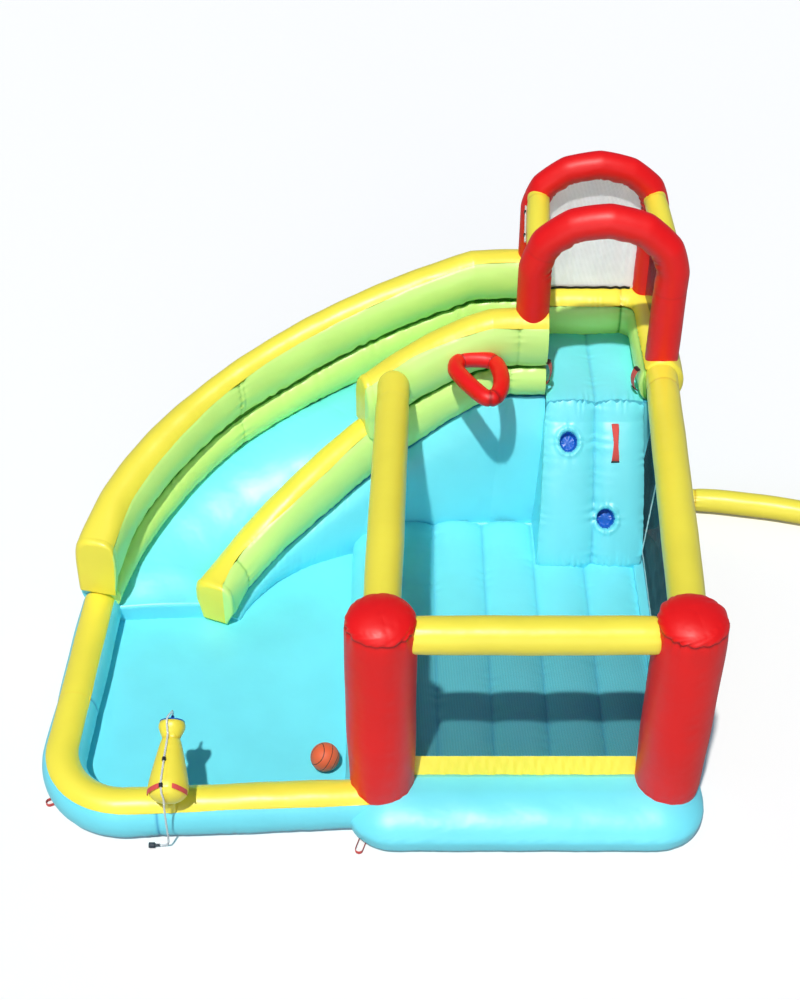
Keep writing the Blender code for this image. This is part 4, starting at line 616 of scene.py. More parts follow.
def at_s(value, s=S):
    return int(np.argmin(np.abs(s - value)))


print("rows along the slide", len(S))

# %% [markdown]
# A wall tube's section is an ellipse that is pressed flat where it rests on the chamber below. The cut is
# at 53 degrees, so the foot lies 0.8 of a radius under the middle. The two coloured cloths of a tube meet in
# a seam, so each colour is a piece of its own, and the yellow one lies a hair higher.

# %% Sections of the wall tubes
FLAT, PRESS = 53.13, 0.8
CREST_LIFT = np.array((0, 0, 0.0006))
SOFT_SEAM = (0.0003, 0.0012, 0.02, 0.05)
FOOT_TURN = 232


def arc(start, end, count):
    start, end = np.reshape(start, (-1, 1)), np.reshape(end, (-1, 1))
    return np.radians(start + (end - start) * np.linspace(0.0, 1.0, count))


def pressed(half, bottom, top, angles):
    tall = (top - bottom) / (2 * PRESS)
    return half[:, None] * np.cos(angles), ((bottom + top) / 2)[:, None] + tall[:, None] * np.sin(angles)


def standing(half, bottom, height, angles, square=1.0):
    tall, square = np.reshape(height / (1 + PRESS), (-1, 1)), np.reshape(square, (-1, 1))
    across, up = (blunt(value, square) for value in (np.cos(angles), np.sin(angles)))
    return half[:, None] * across, bottom[:, None] + PRESS * tall + tall * up


def squared(s):
    """At the pool a tube is fuller at its shoulders, so that its end is nearly flat on top."""
    return 1 - 0.35 * (1 - ease(s / 0.12))


def wall(reach, s, sections, toward=-1):
    place, out = slide_place(reach, s)
    across = np.hstack([section[0] for section in sections])
    grid = place[:, None] + out[:, None] * toward * across[..., None]
    grid[..., 2] = np.hstack([section[1] for section in sections])
    return grid


def two_cloths(reach, s, half, bottom, height, edge):
    """The grids of a standing tube: its side up to the seam at the angle edge, and its crest beyond."""
    side, foot, crest = (
        standing(half, bottom, height, arc(*turns), squared(s))
        for turns in ((-FLAT, edge, 26), (FOOT_TURN, FOOT_TURN, 1), (edge, 180 + FLAT, 42))
    )
    return wall(reach, s, [side, foot]), wall(reach, s, [crest])


def on_route(route, inward, half, bottom, height, angles):
    """A standing tube of one size along a level route."""
    tall = height / (1 + PRESS)
    grid = route[:, None] + inward[:, None] * (half * np.cos(angles[0]))[None, :, None]
    grid[..., 2] = bottom + PRESS * tall + tall * np.sin(angles[0])
    return grid


def left_of(ahead):
    return np.stack([-ahead[:, 1], ahead[:, 0], np.zeros(len(ahead))], 1)


def lean(grid, s):
    """At the pool the outer wall's upper tube leans in over the lane."""
    shift = 0.030 * (1 - ease(s / 0.14))[:, None] * np.clip((grid[..., 2] - 0.32) / 0.45, 0.0, 1.0)
    return grid + shift[..., None] * np.array((1.0, 0.0, 0.0))


print("a tube 0.36 m tall has its middle", round(PRESS * 0.36 / (1 + PRESS), 3), "m above its foot")

# %% [markdown]
# The outer wall is two tubes, one on the other. Four cloths make it: green towards the lane, blue on the
# lower tube's outside, and yellow over the crest. The deepest gathers lie in the crease between the tubes,
# where two layers are sewn into one thread line.

# %% The outer wall: four cloths
half, bottom = outer_half(S), outer_lane(S) - LANE_DROP
tallness = (0, 0.37), (0.28, 0.36), (0.5, 0.375), (0.57, 0.385), (0.66, 0.37), (0.78, 0.35), (0.97, 0.33)
height = changing(S, *tallness)
crease = outer_top(S) - height
edge = changing(S, (0, 38), (0.35, 40), (0.5, 45), (0.75, 46), (0.85, 53), (1.0, 56))
near_pool = 1 - ease((S - 0.2) / 0.25)
middle = np.zeros((len(S), 2))
lane_side = pressed(half + 0.03 * near_pool, bottom, crease, arc(-FLAT, FLAT, 26))
chamber(
    "outer_wall_lower_inside",
    wall(OUTER_REACH, S, [lane_side, (middle, np.stack([crease, bottom], 1))]),
    green_oxford,
    [(25, 0.006, 0.018, 0.05, 0.11), (0, 0.006, 0.012, 0.05, 0.10)],
    [(at_s(0.45), 0.0015, 0.012, 0.035, 0.05)],
)
far_side = pressed(half + 0.04 - 0.03 * near_pool, bottom, crease, arc(FLAT, -FLAT, 26))
chamber(
    "outer_wall_lower_outside",
    wall(OUTER_REACH, S, [far_side, (middle, np.stack([bottom, crease], 1))], 1),
    blue_oxford,
    [(0, 0.005, 0.012, 0.05, 0.10), (25, 0.006, 0.012, 0.06, 0.09)],
    [(at_s(value), 0.003, 0.008, 0.03, 0.05) for value in (0.245, 0.68)],
    seed=2.0,
)
side, crest = two_cloths(OUTER_REACH, S, half + 0.026 * near_pool, crease, height, edge)
chamber(
    "outer_wall_upper_inside",
    lean(side, S),
    green_oxford,
    [(0, 0.006, 0.018, 0.05, 0.12), (25, *SOFT_SEAM)],
    [(at_s(0.452), 0.0015, 0.014, 0.035, 0.05), (at_s(0.462), 0.0, 0.008, 0.03, 0.04)],
    seed=1.5,
)
seams = [(0, *SOFT_SEAM), (41, 0.005, 0.012, 0.05, 0.10)]
chamber("outer_wall_crest", lean(crest, S) + CREST_LIFT, yellow_oxford, seams, seed=1.8)
print("outer wall", len(S), "rows, its crest", [round(float(outer_top(at)), 2) for at in (0, 1)], "m high")

# %% [markdown]
# The inner wall starts as one low tube and steps up to two tubes where the slide grows steep. The low tube
# is green towards the bounce area, with the yellow crest over it.

# %% The inner wall: low run
LOW = S[S <= INNER_STEP]
half, bottom = inner_half(LOW), inner_lane(LOW) - LANE_DROP - inner_hang(LOW)
height = inner_lane(LOW) + 0.26 - bottom
edge = changing(LOW, (0, 72), (0.15, 71), (0.24, 62), (0.34, 51), (0.47, 47), (0.58, 53))
side, crest = two_cloths(INNER_REACH, LOW, half, bottom, height, edge)
seams = [(0, 0.005, 0.012, 0.05, 0.09), (25, *SOFT_SEAM)]
chamber("inner_wall_low_side", side, green_oxford, seams, [(at_s(0.11, LOW), 0.002, 0.010, 0.04, 0.05)])
seams = [(0, *SOFT_SEAM), (41, 0.005, 0.012, 0.05, 0.09)]
chamber("inner_wall_low_crest", crest + CREST_LIFT, yellow_oxford, seams, seed=2.6)
print("low run", len(LOW), "rows")

# %% [markdown]
# Past the step the upper tube keeps one height, and the lower one carries it up along the lane. Both are
# green towards the bounce area, so that the crease between them shows as a dark line: gathers, with the
# thread and painted shade in the seam colour.

# %% The inner wall: high run
HIGH = S[(S >= INNER_STEP) & (S <= 1.95)]
half, bottom = inner_half(HIGH), inner_lane(HIGH) - LANE_DROP - inner_hang(HIGH)
height = np.full(len(HIGH), 0.39)
crease = inner_lane(HIGH) + 0.60 - height
edge = changing(HIGH, (0.607, 62), (0.72, 62), (0.78, 55), (0.85, 48), (0.96, 43))
sides = [pressed(half, bottom, crease, arc(turn - FLAT, turn + FLAT, 26)) for turn in (0, 180)]
chamber(
    "inner_wall_lower_tube",
    wall(INNER_REACH, HIGH, sides),
    green_oxford,
    [(25, 0.005, 0.014, 0.05, 0.11), (0, 0.005, 0.010, 0.05, 0.09), (26, 0.005, 0.012, 0.05, 0.1)],
    [(at_s(0.96, HIGH), 0.001, 0.010, 0.03, 0.05)],
)
side, crest = two_cloths(INNER_REACH, HIGH, half, crease, height, edge)
chamber(
    "inner_wall_upper_side",
    side,
    green_oxford,
    [(0, 0.005, 0.016, 0.05, 0.12), (25, *SOFT_SEAM)],
    [(at_s(0.975, HIGH), 0.001, 0.012, 0.03, 0.05)],
    seed=3.1,
)
seams = [(0, *SOFT_SEAM), (41, 0.005, 0.012, 0.05, 0.10)]
chamber("inner_wall_crest", crest + CREST_LIFT, yellow_oxford, seams, seed=3.7)
print("high run", len(HIGH), "rows")

# %% [markdown]
# Where a wall ends, its yellow crest turns down and closes the tube with a nearly flat face. Rings that start
# at the tube's outline round the edge, and a few more close the face with a slight bulge.

# %% Closed ends: two above the pool and one at the inner wall's step
END_DEPTH, END_RADIUS, END_BULGE = 0.045, 0.03, 0.004


def end_cloth(name, node_name, finish, reach, s, ahead, half, height, bottom, top, square, turns, feet):
    """turns are the outline's first and last angle. The side where the two colours meet isn't rounded."""
    place, out = (value[0] for value in slide_place(reach, np.array([s])))
    tall, over = height / (1 + PRESS), np.radians(np.linspace(*turns, 40))
    across, up = (blunt(value, square) for value in (np.cos(over), np.sin(over)))
    crest = np.stack([-half * across, top - tall + tall * up, 0 * up], 1)
    first, last = crest[0, 0] - feet[0], crest[-1, 0] + feet[1]
    outline = evenly([*crest, (last, bottom, 0.0), (first, bottom, 0.0), crest[0]], count=121)[:-1, :2]
    shared = crest[-1, 0] if turns[0] > 90 else crest[0, 0]
    centre = np.array((shared, (bottom + top) / 2))
    size = np.array((np.abs(outline[:, 0] - shared).max(), (top - bottom) / 2))
    round_edge = np.linspace(0.0, math.pi / 2, 10)
    steps = [(0.0, -0.012), *((END_RADIUS * (1 - math.cos(t)), END_DEPTH * math.sin(t)) for t in round_edge)]
    steps += [(share * size.min(), END_DEPTH + END_BULGE * share) for share in (0.5, 0.7, 0.85, 0.95)]
    rings = []
    for inset, forward in steps:
        flat = centre + (outline - centre) * (1 - inset / size)
        ring = place + out * flat[:, :1] + np.array((*ahead, 0.0)) * forward
        ring[:, 2] = flat[:, 1]
        rings.append(ring)
    grid = np.array(rings)
    if reach is OUTER_REACH:
        grid = lean(grid, np.zeros(len(grid)))
    chamber(node_name, grid, finish, name=name, slack=0.0015)


FRONTWARDS, DOWN_THE_SLIDE = (0.0, -1.0), (-0.933, -0.359)
step_low, step_top = inner_lane(INNER_STEP) + 0.17, inner_lane(INNER_STEP) + 0.602
outer_end = (OUTER_REACH, 0.0, FRONTWARDS, 0.1465, 0.37, 0.302, 0.772, 0.65)
low_end = (INNER_REACH, 0.0, FRONTWARDS, 0.141, 0.29, 0.035, 0.382, 0.65)
step_end = (INNER_REACH, INNER_STEP, DOWN_THE_SLIDE, 0.147, 0.39, step_low, step_top, 1.0)
for name, crest_node, side_node, end, seam_turn, crest_feet, side_feet in (
    ("outer_wall", "outer_wall_crest", "outer_wall_upper_inside", outer_end, 38, (0.012, 0.0), (0.0, 0.02)),
    ("inner_wall", "inner_wall_low_crest", "inner_wall_low_side", low_end, 72, (0.035, 0.0), (0.0, 0.06)),
    ("inner_wall_step", "inner_wall_crest", "inner_wall_upper_side", step_end, 62, (0.0, 0.0), (0.0, 0.0)),
):
    first, second = ("", "_side") if end is step_end else ("_end", "_side_end")
    end_cloth(f"{name}{first}_cloth", crest_node, yellow_oxford, *end, (182, seam_turn), crest_feet)
    end_cloth(f"{name}{second}_cloth", side_node, green_oxford, *end, (seam_turn, -15), side_feet)
print("cloths so far", len(faces_made))

# %% [markdown]
# Under the slide lies its biggest chamber, whose front is the back wall of the bounce area. Its section is
# a smooth curve through a few points that rise with the lane, so it bellies out where nothing holds it.


# %% The chamber under the slide
def curve_through(controls, steps):
    """The spline of `through`, for whole columns of points at once."""
    held = [2 * controls[0] - controls[1], *controls, 2 * controls[-1] - controls[-2]]
    shares = np.arange(steps) / steps
    columns = [between(*held[k : k + 4], share) for k in range(len(controls) - 1) for share in shares]
    return [*columns, controls[-1]]


def lifted(place, z):
    return np.column_stack([place[:, :2], np.broadcast_to(z, len(place))])


foot = slide_place(FOOT_REACH, S, FOOT_SQUARENESS)[0]
inner, inner_out = slide_place(INNER_REACH, S)
outer, outer_out = slide_place(OUTER_REACH, S)
low, high = inner_lane(S) - LANE_DROP - 0.002, outer_lane(S) - LANE_DROP - 0.002
hanging = low - inner_hang(S)
ih, oh = inner_half(S)[:, None], outer_half(S)[:, None]
pool_edge, lane_edge = inner - inner_out * 0.62 * ih, inner + inner_out * 0.62 * ih
front = [
    lifted(foot, 0.0),
    lifted(mix(foot, pool_edge, 0.15) - inner_out * 0.03, hanging * 0.35),
    lifted(mix(foot, pool_edge, 0.55) - inner_out * 0.03, hanging * 0.75),
    lifted(pool_edge, hanging),
]
back_edge, back_side = outer + outer_out * 0.62 * oh, outer + outer_out * (oh + 0.035)
back_foot = outer + outer_out * oh
rear = [
    lifted(back_edge, high),
    lifted(mix(back_side, back_edge, 0.25), high * 0.85),
    lifted(back_side, high * 0.45),
    lifted(mix(back_side, back_foot, 0.4), high * 0.15),
    lifted(back_foot, 0.0),
]
grid = np.stack([*curve_through(front, 16), lifted(lane_edge, low - 0.004), *curve_through(rear, 12)], 1)
chamber(
    "slide_body",
    grid,
    blue_oxford,
    [(0, 0.0, 0.010, 0.07, 0.10), (48, 0.004, 0.010, 0.06, 0.12), (-1, 0.0, 0.012, 0.08, 0.10)],
    [(at_s(value), 0.0, 0.006, 0.05, 0.16) for value in (0.62, 0.955)],
    belly=0.006,
    slack=0.005,
)
print("slide chamber", grid.shape[1], "columns round")

# %% [markdown]
# The sliding panel is one sheet crowned between the walls. Above the pool it grows thicker, rolls over into
# a lip and hangs down to the pool's floor, so its rows start at the floor and climb over the lip.

# %% The sliding panel with its lip
LIP_ROLL, LIP_ROWS = 0.025, 16
outer_edge = outer - outer_out * (0.62 - 0.25 * near_pool[:, None]) * oh
shares = np.linspace(0.0, 1.0, 44)
lip = 0.3 + 0.7 * ease(S / 0.10)[:, None]
crown = (0.012 + 0.05 * (1 - np.abs(2 * shares - 1)[None, :] ** 2.2)) * lip
lane = lane_edge[:, None] + (outer_edge - lane_edge)[:, None] * shares[None, :, None]
lane[..., 2] = mix((low + lip_rise(S))[:, None], high[:, None], shares[None, :]) + 0.002 + crown
rows = []
for angle in np.radians(np.linspace(90, 0, 10)):
    rows.append(lane[0] - (0.0, LIP_ROLL * math.sin(angle), LIP_ROLL * (1 - math.cos(angle))))
edge_row = rows[0]
for share in np.linspace(0.15, 1.0, 7):
    fall = edge_row + (0.0, 0.012 * share, 0.0)
    fall[:, 2] = mix(edge_row[:, 2], 0.028, share)
    rows.insert(0, fall)
chamber(
    "slide_lane",
    np.vstack([rows, lane[1:]]),
    blue_oxford,
    [(column, 0.0, 0.008, 0.06, 0.09) for column in (0, -1)],
    [(0, 0.0, 0.006, 0.05, 0.07), (LIP_ROWS + at_s(0.62), 0.0, 0.007, 0.05, 0.30)],
    around=False,
    ends=False,
    towards=(0.0, -0.3, 1.0),
    slack=0.004,
)
print("lane", len(lane), "rows and", len(rows) - 1, "over the lip")

# %% [markdown]
# The pool has a low round wall, blue with a yellow crest, and a thin floor sewn to it. The wall follows the
# edge from the slide's end down the left side, round a corner of 0.42 m and along the front.


# %% The pool's wall and floor
def bend(x, y, radius, first, last, count):
    """Points on a level circle from one angle to another, in degrees."""
    turn = np.radians(np.linspace(first, last, count))
    return np.stack([x + radius * np.cos(turn), y + radius * np.sin(turn), 0 * turn], 1)


POOL_LEFT, POOL_FRONT, POOL_CORNER, POOL_WALL, POOL_HALF = -2.80, -1.175, 0.42, 0.30, 0.13
POOL_SEAM = (0.0003, 0.002, 0.03, 0.06)
start = slide_place(OUTER_REACH, np.array([0.0]))[0][0]
corner = np.array((POOL_LEFT + POOL_CORNER, POOL_FRONT + POOL_CORNER, 0.0))
end = np.array((-BASE_WIDTH / 2 + 0.15, -1.105, 0.0))
slope = math.degrees(math.atan2(end[1] - POOL_FRONT, end[0] - corner[0]))
route = evenly(np.vstack([start, bend(*corner[:2], POOL_CORNER, 180, 270 + slope, 40), end]), 0.010)
ahead = unit(np.gradient(route, axis=0))
for _ in range(12):
    ahead = unit(np.vstack([ahead[:1], (ahead[:-2] + ahead[1:-1] + ahead[2:]) / 3, ahead[-1:]]))
inward = left_of(ahead)
pool_tube = (route, inward, POOL_HALF, 0.0, POOL_WALL)
lower, outer_arc = arc(-FLAT, 40, 20), arc(140, 180 + FLAT, 20)
sides = np.concatenate([on_route(*pool_tube, lower), on_route(*pool_tube, outer_arc)], 1)
foot_seams = [(column, 0.004, 0.010, 0.05, 0.08) for column in (0, 39)]
seams = [foot_seams[0], (19, *POOL_SEAM), (20, *POOL_SEAM), foot_seams[1]]
chamber("pool_wall", sides, blue_oxford, seams, [(row, 0.003, 0.006, 0.03, 0.05) for row in (90, 215)])
chamber(
    "pool_wall_crest",
    on_route(*pool_tube, arc(40, 140, 34)),
    yellow_oxford,
    [(0, *POOL_SEAM), (33, *POOL_SEAM)],
    [(row, 0.0004, 0.002, 0.02, 0.05) for row in (90, 215)],
    seed=2.2,
)
COUNT = 260
near_side = evenly(route + inward * 0.05, count=COUNT)
slide_side = slide_place(FOOT_REACH, np.linspace(0.02, 0.9, 60), FOOT_SQUARENESS)
slide_side = slide_side[0] + slide_side[1] * 0.06
slide_side = slide_side[slide_side[:, 0] < -BASE_WIDTH / 2 + 0.05]
far_side = np.vstack([near_side[:1] + (0.02, 0.06, 0), slide_side, (slide_side[-1, 0], near_side[-1, 1], 0)])
far_side = evenly(far_side, count=COUNT)
shares = np.linspace(0.0, 1.0, 90)[None, :, None]
grid = near_side[:, None] * (1 - shares) + far_side[:, None] * shares
grid[..., 2] = 0.03
seams = [(column, 0.0, 0.008, 0.05, 0.09) for column in (0, -1)]
chamber("pool_floor", grid, blue_oxford, seams, fill=0.1, slack=0.0025, **LEVEL)
print("pool wall", round(distances(sides)[0][-1], 2), "m")

# %% [markdown]
# The bounce base is a thick air mattress: its sides bulge over the foot and roll into the top. The floor's
# five beams sit in a recess, which a Boolean cuts from the base as it does in the measured model.


# %% Bounce base
def rounded(half_x, half_y, radius, count=400):
    line = []
    for sx, sy, first in ((1, 1, 0), (-1, 1, 90), (-1, -1, 180), (1, -1, 270)):
        line.append(bend(sx * (half_x - radius), sy * (half_y - radius), radius, first, first + 90, 16))
    return evenly(np.vstack([*line, line[0][:1]]), count=count + 1)[:-1]


FLOOR_WIDTH, RECESS_FOOT, FLOOR_BEAM_GROOVE = 1.70, 0.16, 0.035
layers = [(mix(0.04, 0.014, t), BASE_HEIGHT * 0.13 * t) for t in np.linspace(0, 1, 5)]
layers += [(0.014 * (1 - t) ** 1.5, BASE_HEIGHT * mix(0.13, 0.42, t)) for t in np.linspace(0.12, 1, 8)]
for angle in np.radians(np.linspace(6, 90, 26)):
    layers.append((0.27 * (1 - math.cos(angle) ** 1.25), BASE_HEIGHT * mix(0.42, 1.0, math.sin(angle) ** 1.25)))
rings = []
for inset, z in layers:
    rings.append(rounded(BASE_WIDTH / 2 - inset, BASE_DEPTH / 2 - inset, max(0.30 - inset, 0.02)) + (0, 0, z))
rings += [rings[-1] * (share, share, 1.0) for share in (0.92, 0.8, 0.6, 0.3)]
joins = [(0, 0.0, 0.008, 0.04, 0.09), (13, 0.0, 0.004, 0.05, 0.13)]
grid, near = folded(np.array(rings), joins=joins, slack=0.004, belly=0.0)
base = skin("bounce_base_cloth", grid, near=near * 0.4)
recess = ((-1, -1.005), (1, -1.005), (1, 1.28), (-1, 1.28))
cutter = [[(x * FLOOR_WIDTH / 2, y, z) for x, y in recess] for z in (RECESS_FOOT, 0.5)]
cutter = skin("recess_cutter", np.array(cutter))
cut = base.modifiers.new("recess", "BOOLEAN")
cut.object = cutter
cut.solver = "EXACT"
bpy.context.view_layer.update()
graph = bpy.context.evaluated_depsgraph_get()
base.data = bpy.data.meshes.new_from_object(base.evaluated_get(graph))
base.modifiers.clear()
bpy.data.objects.remove(cutter, do_unlink=True)
dress(base, blue_oxford, "bounce_base")
print("base", len(base.data.polygons), "faces after the cut")

# %% [markdown]
# Cloth walls inside the floor hold its top down along straight lines, and the air lifts five beams between
# them. The seams lie 35 mm deep and gather the cloth on both sides.


# %% Bounce floor
def field(x, y, z):
    """A grid of points from tables of x, y and z, any of which may be a single row or column."""
    return np.stack(np.broadcast_arrays(x, y, z), -1)


BEAMS = 5
columns = np.linspace(0.0, 1.0, BEAMS * 28 + 1)
across = (columns * BEAMS) % 1.0
across[-1] = 1.0
sag = np.abs(2 * across - 1) ** 2.4
y = np.linspace(-1.004, 1.2795, 165)
end_drop = 0.03 * np.exp(-np.minimum(y - y[0], y[-1] - y) / 0.02)
floor_top = BASE_HEIGHT - FLOOR_BEAM_GROOVE * sag[None, :] - end_drop[:, None]
grid = field(mix(-0.849, 0.849, columns), y[:, None], floor_top)
seams = [(28 * k, 0.0012, 0.010, 0.05, 0.10) for k in range(BEAMS + 1)]
joins = [(row, 0.0, 0.006, 0.05, 0.06) for row in (0, -1)]
chamber("bounce_floor", grid, blue_oxford, seams, joins, belly=0.0, **LEVEL)
print("floor", grid.shape[0], "rows of", grid.shape[1])

# %% [markdown]
# Two red posts stand on the base's front corners. Cloth is sewn to the dome about 0.1 m below its top, and
# that ring of thread pulls the tightest gathers of the whole toy.

# %% Corner posts
POST_X, POST_Y, POST_RADIUS, POST_TOP, POST_DOME = 0.85, 0.37 - BASE_DEPTH / 2, 0.193, 1.70, 0.10
profile = [(POST_RADIUS * mix(0.92, 1.01, t), mix(0.16, 0.28, t)) for t in np.linspace(0, 1, 12)]
profile += [(POST_RADIUS * mix(1.01, 1.05, ease(t)), mix(0.28, 0.8, t)) for t in np.linspace(0.03, 1, 40)]
profile += [(POST_RADIUS * 1.05, mix(0.8, 1.25, t)) for t in np.linspace(0.03, 1, 34)]
profile += [(POST_RADIUS * mix(1.05, 1.06, t), mix(1.25, 1.6, t)) for t in np.linspace(0.03, 1, 32)]
RING = len(profile) - 1
for angle in np.radians(np.linspace(88, 3, 22)):
    profile.append((POST_RADIUS * 1.06 * math.sin(angle), POST_TOP - POST_DOME * (1 - math.cos(angle))))
seams = [(column, 0.0, 0.003, 0.03, 0.12) for column in (12, 44, 76)]
joins = [(RING, 0.004, 0.018, 0.045, 0.075), (12, 0.0, 0.008, 0.04, 0.07)]
for name, side in (("left_post", -1), ("right_post", 1)):
    grid = turned(profile, (side * POST_X, POST_Y, 0.0))
    chamber(name, grid, red_oxford, seams, joins, seed=1.0 + side, belly=0.0)
print("posts", round(2 * profile[RING][0], 3), "m across at the ring of thread")

# %% [markdown]
# Yellow rails join the posts and run back to the slide and the tower. They are plain tubes, a little fatter
# in the middle, and end in small gathers.

# %% Rails
RAIL, RAIL_SWELL, RAIL_Z = 0.107, 1.03, 1.497


def rail(name, start, end, dome=False):
    line = evenly([start, end], 0.012)
    share = np.linspace(0.0, 1.0, len(line))
    grid = sweep(line, RAIL * (1 + (RAIL_SWELL - 1) * np.sin(math.pi * share)), 44, (0, 0, 1))
    joins = [(16, 0.0, 0.006, 0.03, 0.05), (len(line) - 16, 0.0 if dome else 0.002, 0.006, 0.03, 0.05)]
    grid = domed(grid, RAIL, 9, 0.05) if dome else grid
    chamber(name, grid, yellow_oxford, [(33, 0.002, 0.004, 0.03, 0.07)], joins, belly=0.0, slack=0.002)


LEFT_START, RIGHT_START = (-POST_X, POST_Y, RAIL_Z), (POST_X, POST_Y, RAIL_Z)
RIGHT_END = (POST_X + 0.15, TOWER_FRONT + 0.03, RAIL_Z - 0.12)
rail("front_rail", LEFT_START, RIGHT_START)
rail("left_rail", LEFT_START, (-POST_X + 0.065, 1.28, RAIL_Z - 0.06), dome=True)
rail("right_rail", RIGHT_START, RIGHT_END)
print("rails", 2 * RAIL, "m across")

# %% [markdown]
# The tower carries the platform. Its walls bulge, and a round tube, green inside and yellow outside, runs
# round the platform as a guard.

# %% Tower and its wall
BULGE, FRONT_ROUND, BACK_ROUND = 0.04, 0.1, 0.3
tower_right, tower_back = TOWER_LEFT + TOWER_WIDTH, TOWER_FRONT + TOWER_DEPTH
tower = []
for share in np.linspace(0.0, 1.0, 60):
    swell = BULGE * math.sin(math.pi * share) ** 0.7 if 0 < share < 1 else 0.0
    front_x, back_x = tower_right - FRONT_ROUND + swell, tower_right - BACK_ROUND + swell
    front_corner = bend(front_x, TOWER_FRONT + FRONT_ROUND, FRONT_ROUND, -90, 0, 10)
    back_corner = bend(back_x, tower_back - BACK_ROUND + swell, BACK_ROUND, 0, 90, 24)
    line = [(TOWER_LEFT, TOWER_FRONT, 0.0), (front_x, TOWER_FRONT, 0.0), *front_corner, *back_corner]
    line += [(TOWER_LEFT, tower_back + swell, 0.0), line[0]]
    tower.append(evenly(line, count=321)[:-1] + (0, 0, (PLATFORM_HEIGHT - 0.035) * share))
seams = [(column, 0.002, 0.004, 0.03, 0.12) for column in (150, 230)]
joins = [(0, 0.0, 0.010, 0.06, 0.09), (59, 0.003, 0.010, 0.06, 0.09)]
chamber("tower_body", np.array(tower), blue_oxford, seams, joins, belly=0.0, slack=0.005)
WALL, WALL_BOTTOM, WALL_TALL, WALL_ROUND, GREEN_TO = 0.15, PLATFORM_HEIGHT - 0.0347, 0.335, 0.2, 38.0
back, right = SLIDE_CENTRE[1] + OUTER_REACH[1], TOWER_LEFT + TOWER_WIDTH - WALL + 0.01
wall_corner = bend(right - WALL_ROUND, back - WALL_ROUND, WALL_ROUND, 90, 0, 24)
route = evenly([(TOWER_LEFT, back, 0.0), *wall_corner, (right, TOWER_FRONT + 0.03, 0.0)], 0.009)
guard = (route, -left_of(unit(np.gradient(route, axis=0))), WALL, WALL_BOTTOM, WALL_TALL)
inside = [on_route(*guard, arc(-FLAT, GREEN_TO, 26)), on_route(*guard, arc(FOOT_TURN, FOOT_TURN, 1))]
crest = on_route(*guard, arc(GREEN_TO, 180 + FLAT, 42)) + CREST_LIFT
seams = [(0, 0.004, 0.010, 0.05, 0.08), (25, 0.002, 0.005, 0.03, 0.05)]
joins = [(62, 0.004, 0.012, 0.04, 0.05)]
chamber("tower_wall_inside", domed(np.concatenate(inside, 1), 0.03), green_oxford, seams, joins)
seams = [(0, 0.002, 0.005, 0.03, 0.05), (41, 0.004, 0.010, 0.05, 0.08)]
joins = [(62, 0.003, 0.006, 0.04, 0.05)]
chamber("tower_wall_crest", domed(crest, 0.03), yellow_oxford, seams, joins, seed=2.9)
print("tower wall", round(distances(crest)[0][-1], 2), "m")

# %% [markdown]
# Platform and climbing wall are one row of two crowned columns: level on top, then down over an edge and
# steeply to the bounce floor. The seam between the columns is a valley of 22 mm.


# %% Platform
def two_lobes(across):
    """0 on the crown of each column, 1 in the valley between them and at both edges."""
    return np.where((across > 0) & (across < 1), np.abs(2 * ((across * 2) % 1.0) - 1), 1.0)


shares = np.linspace(0.0, 1.0, 91)
y = np.linspace(TOWER_FRONT - 0.002, SLIDE_CENTRE[1] + OUTER_REACH[1] - 0.09, 90)
x = mix(TOWER_LEFT, TOWER_LEFT + TOWER_WIDTH - 0.24, shares)
grid = field(x, y[:, None], PLATFORM_HEIGHT - 0.022 * two_lobes(shares) ** 2.4)
seams = [(0, 0.0, 0.006, 0.04, 0.07), (45, 0.0012, 0.006, 0.04, 0.07), (90, 0.0, 0.006, 0.04, 0.07)]
chamber("platform", grid, blue_oxford, seams, [(0, 0.0012, 0.014, 0.04, 0.05)], belly=0.0, **LEVEL)
print("platform", round(float(y[-1] - y[0]), 2), "m deep")

# %% [markdown]
# The climbing wall leans from the platform's edge down to the floor, and its two columns swell in the middle.
# Two hand pockets are sewn into it: each is a pit with gathers that run in from all round like rays. The pits
# are pushed into the grid, and the faces inside them get a darker blue as painted shade.

# %% Climbing wall
CLIMB_FOOT, CLIMB_WIDTH, CLIMB_FLARE, CLIMB_CROWN, CLIMB_SUNK = 0.785, 0.66, 0.06, 0.035, 0.055


def climb_point(across, up):
    across, up = np.asarray(across, float), np.asarray(up, float)
    inset = CLIMB_CROWN * two_lobes(across) ** 3.0
    belly = 0.05 * np.sin(math.pi * np.minimum(up * 1.15, 1.0)) ** 0.8
    settle = 1 - ease((up - 0.82) / 0.18)
    y = CLIMB_FOOT + (TOWER_FRONT - CLIMB_FOOT) * up**1.15 + (inset - belly) * settle
    z = mix(BASE_HEIGHT, PLATFORM_HEIGHT, up) - inset * 0.6 * up
    flare = CLIMB_FLARE * (1 - up) * (1 - across) ** 2
    return field(TOWER_LEFT + CLIMB_WIDTH * across - flare, y, z)


def climb_out(across, up):
    climb = climb_point(across, up + 0.02) - climb_point(across, up - 0.02)
    return unit(np.array((0.0, -climb[2], climb[1])))


across, up = np.linspace(0.0, 1.0, 131), np.linspace(0.0, 1.0, 190) ** 0.9
face = climb_point(across[:, None], up[None, :])
tucked_foot, behind_foot = face[:, :1] + (0.0, 0.02, -CLIMB_SUNK), face[:, :1] + (0.0, 0.0, -CLIMB_SUNK)
behind_foot[..., 1] = TOWER_FRONT
grid, near = folded(
    np.concatenate([tucked_foot, face, behind_foot], 1),
    [(1, 0.0, 0.012, 0.05, 0.05), (190, 0.0012, 0.014, 0.04, 0.05)],
    [(0, 0.0, 0.006, 0.04, 0.07), (65, 0.0012, 0.012, 0.05, 0.08), (130, 0.0, 0.006, 0.04, 0.07)],
    belly=0.0,
)
POCKET, POCKET_DEPTH = 0.063, 0.075
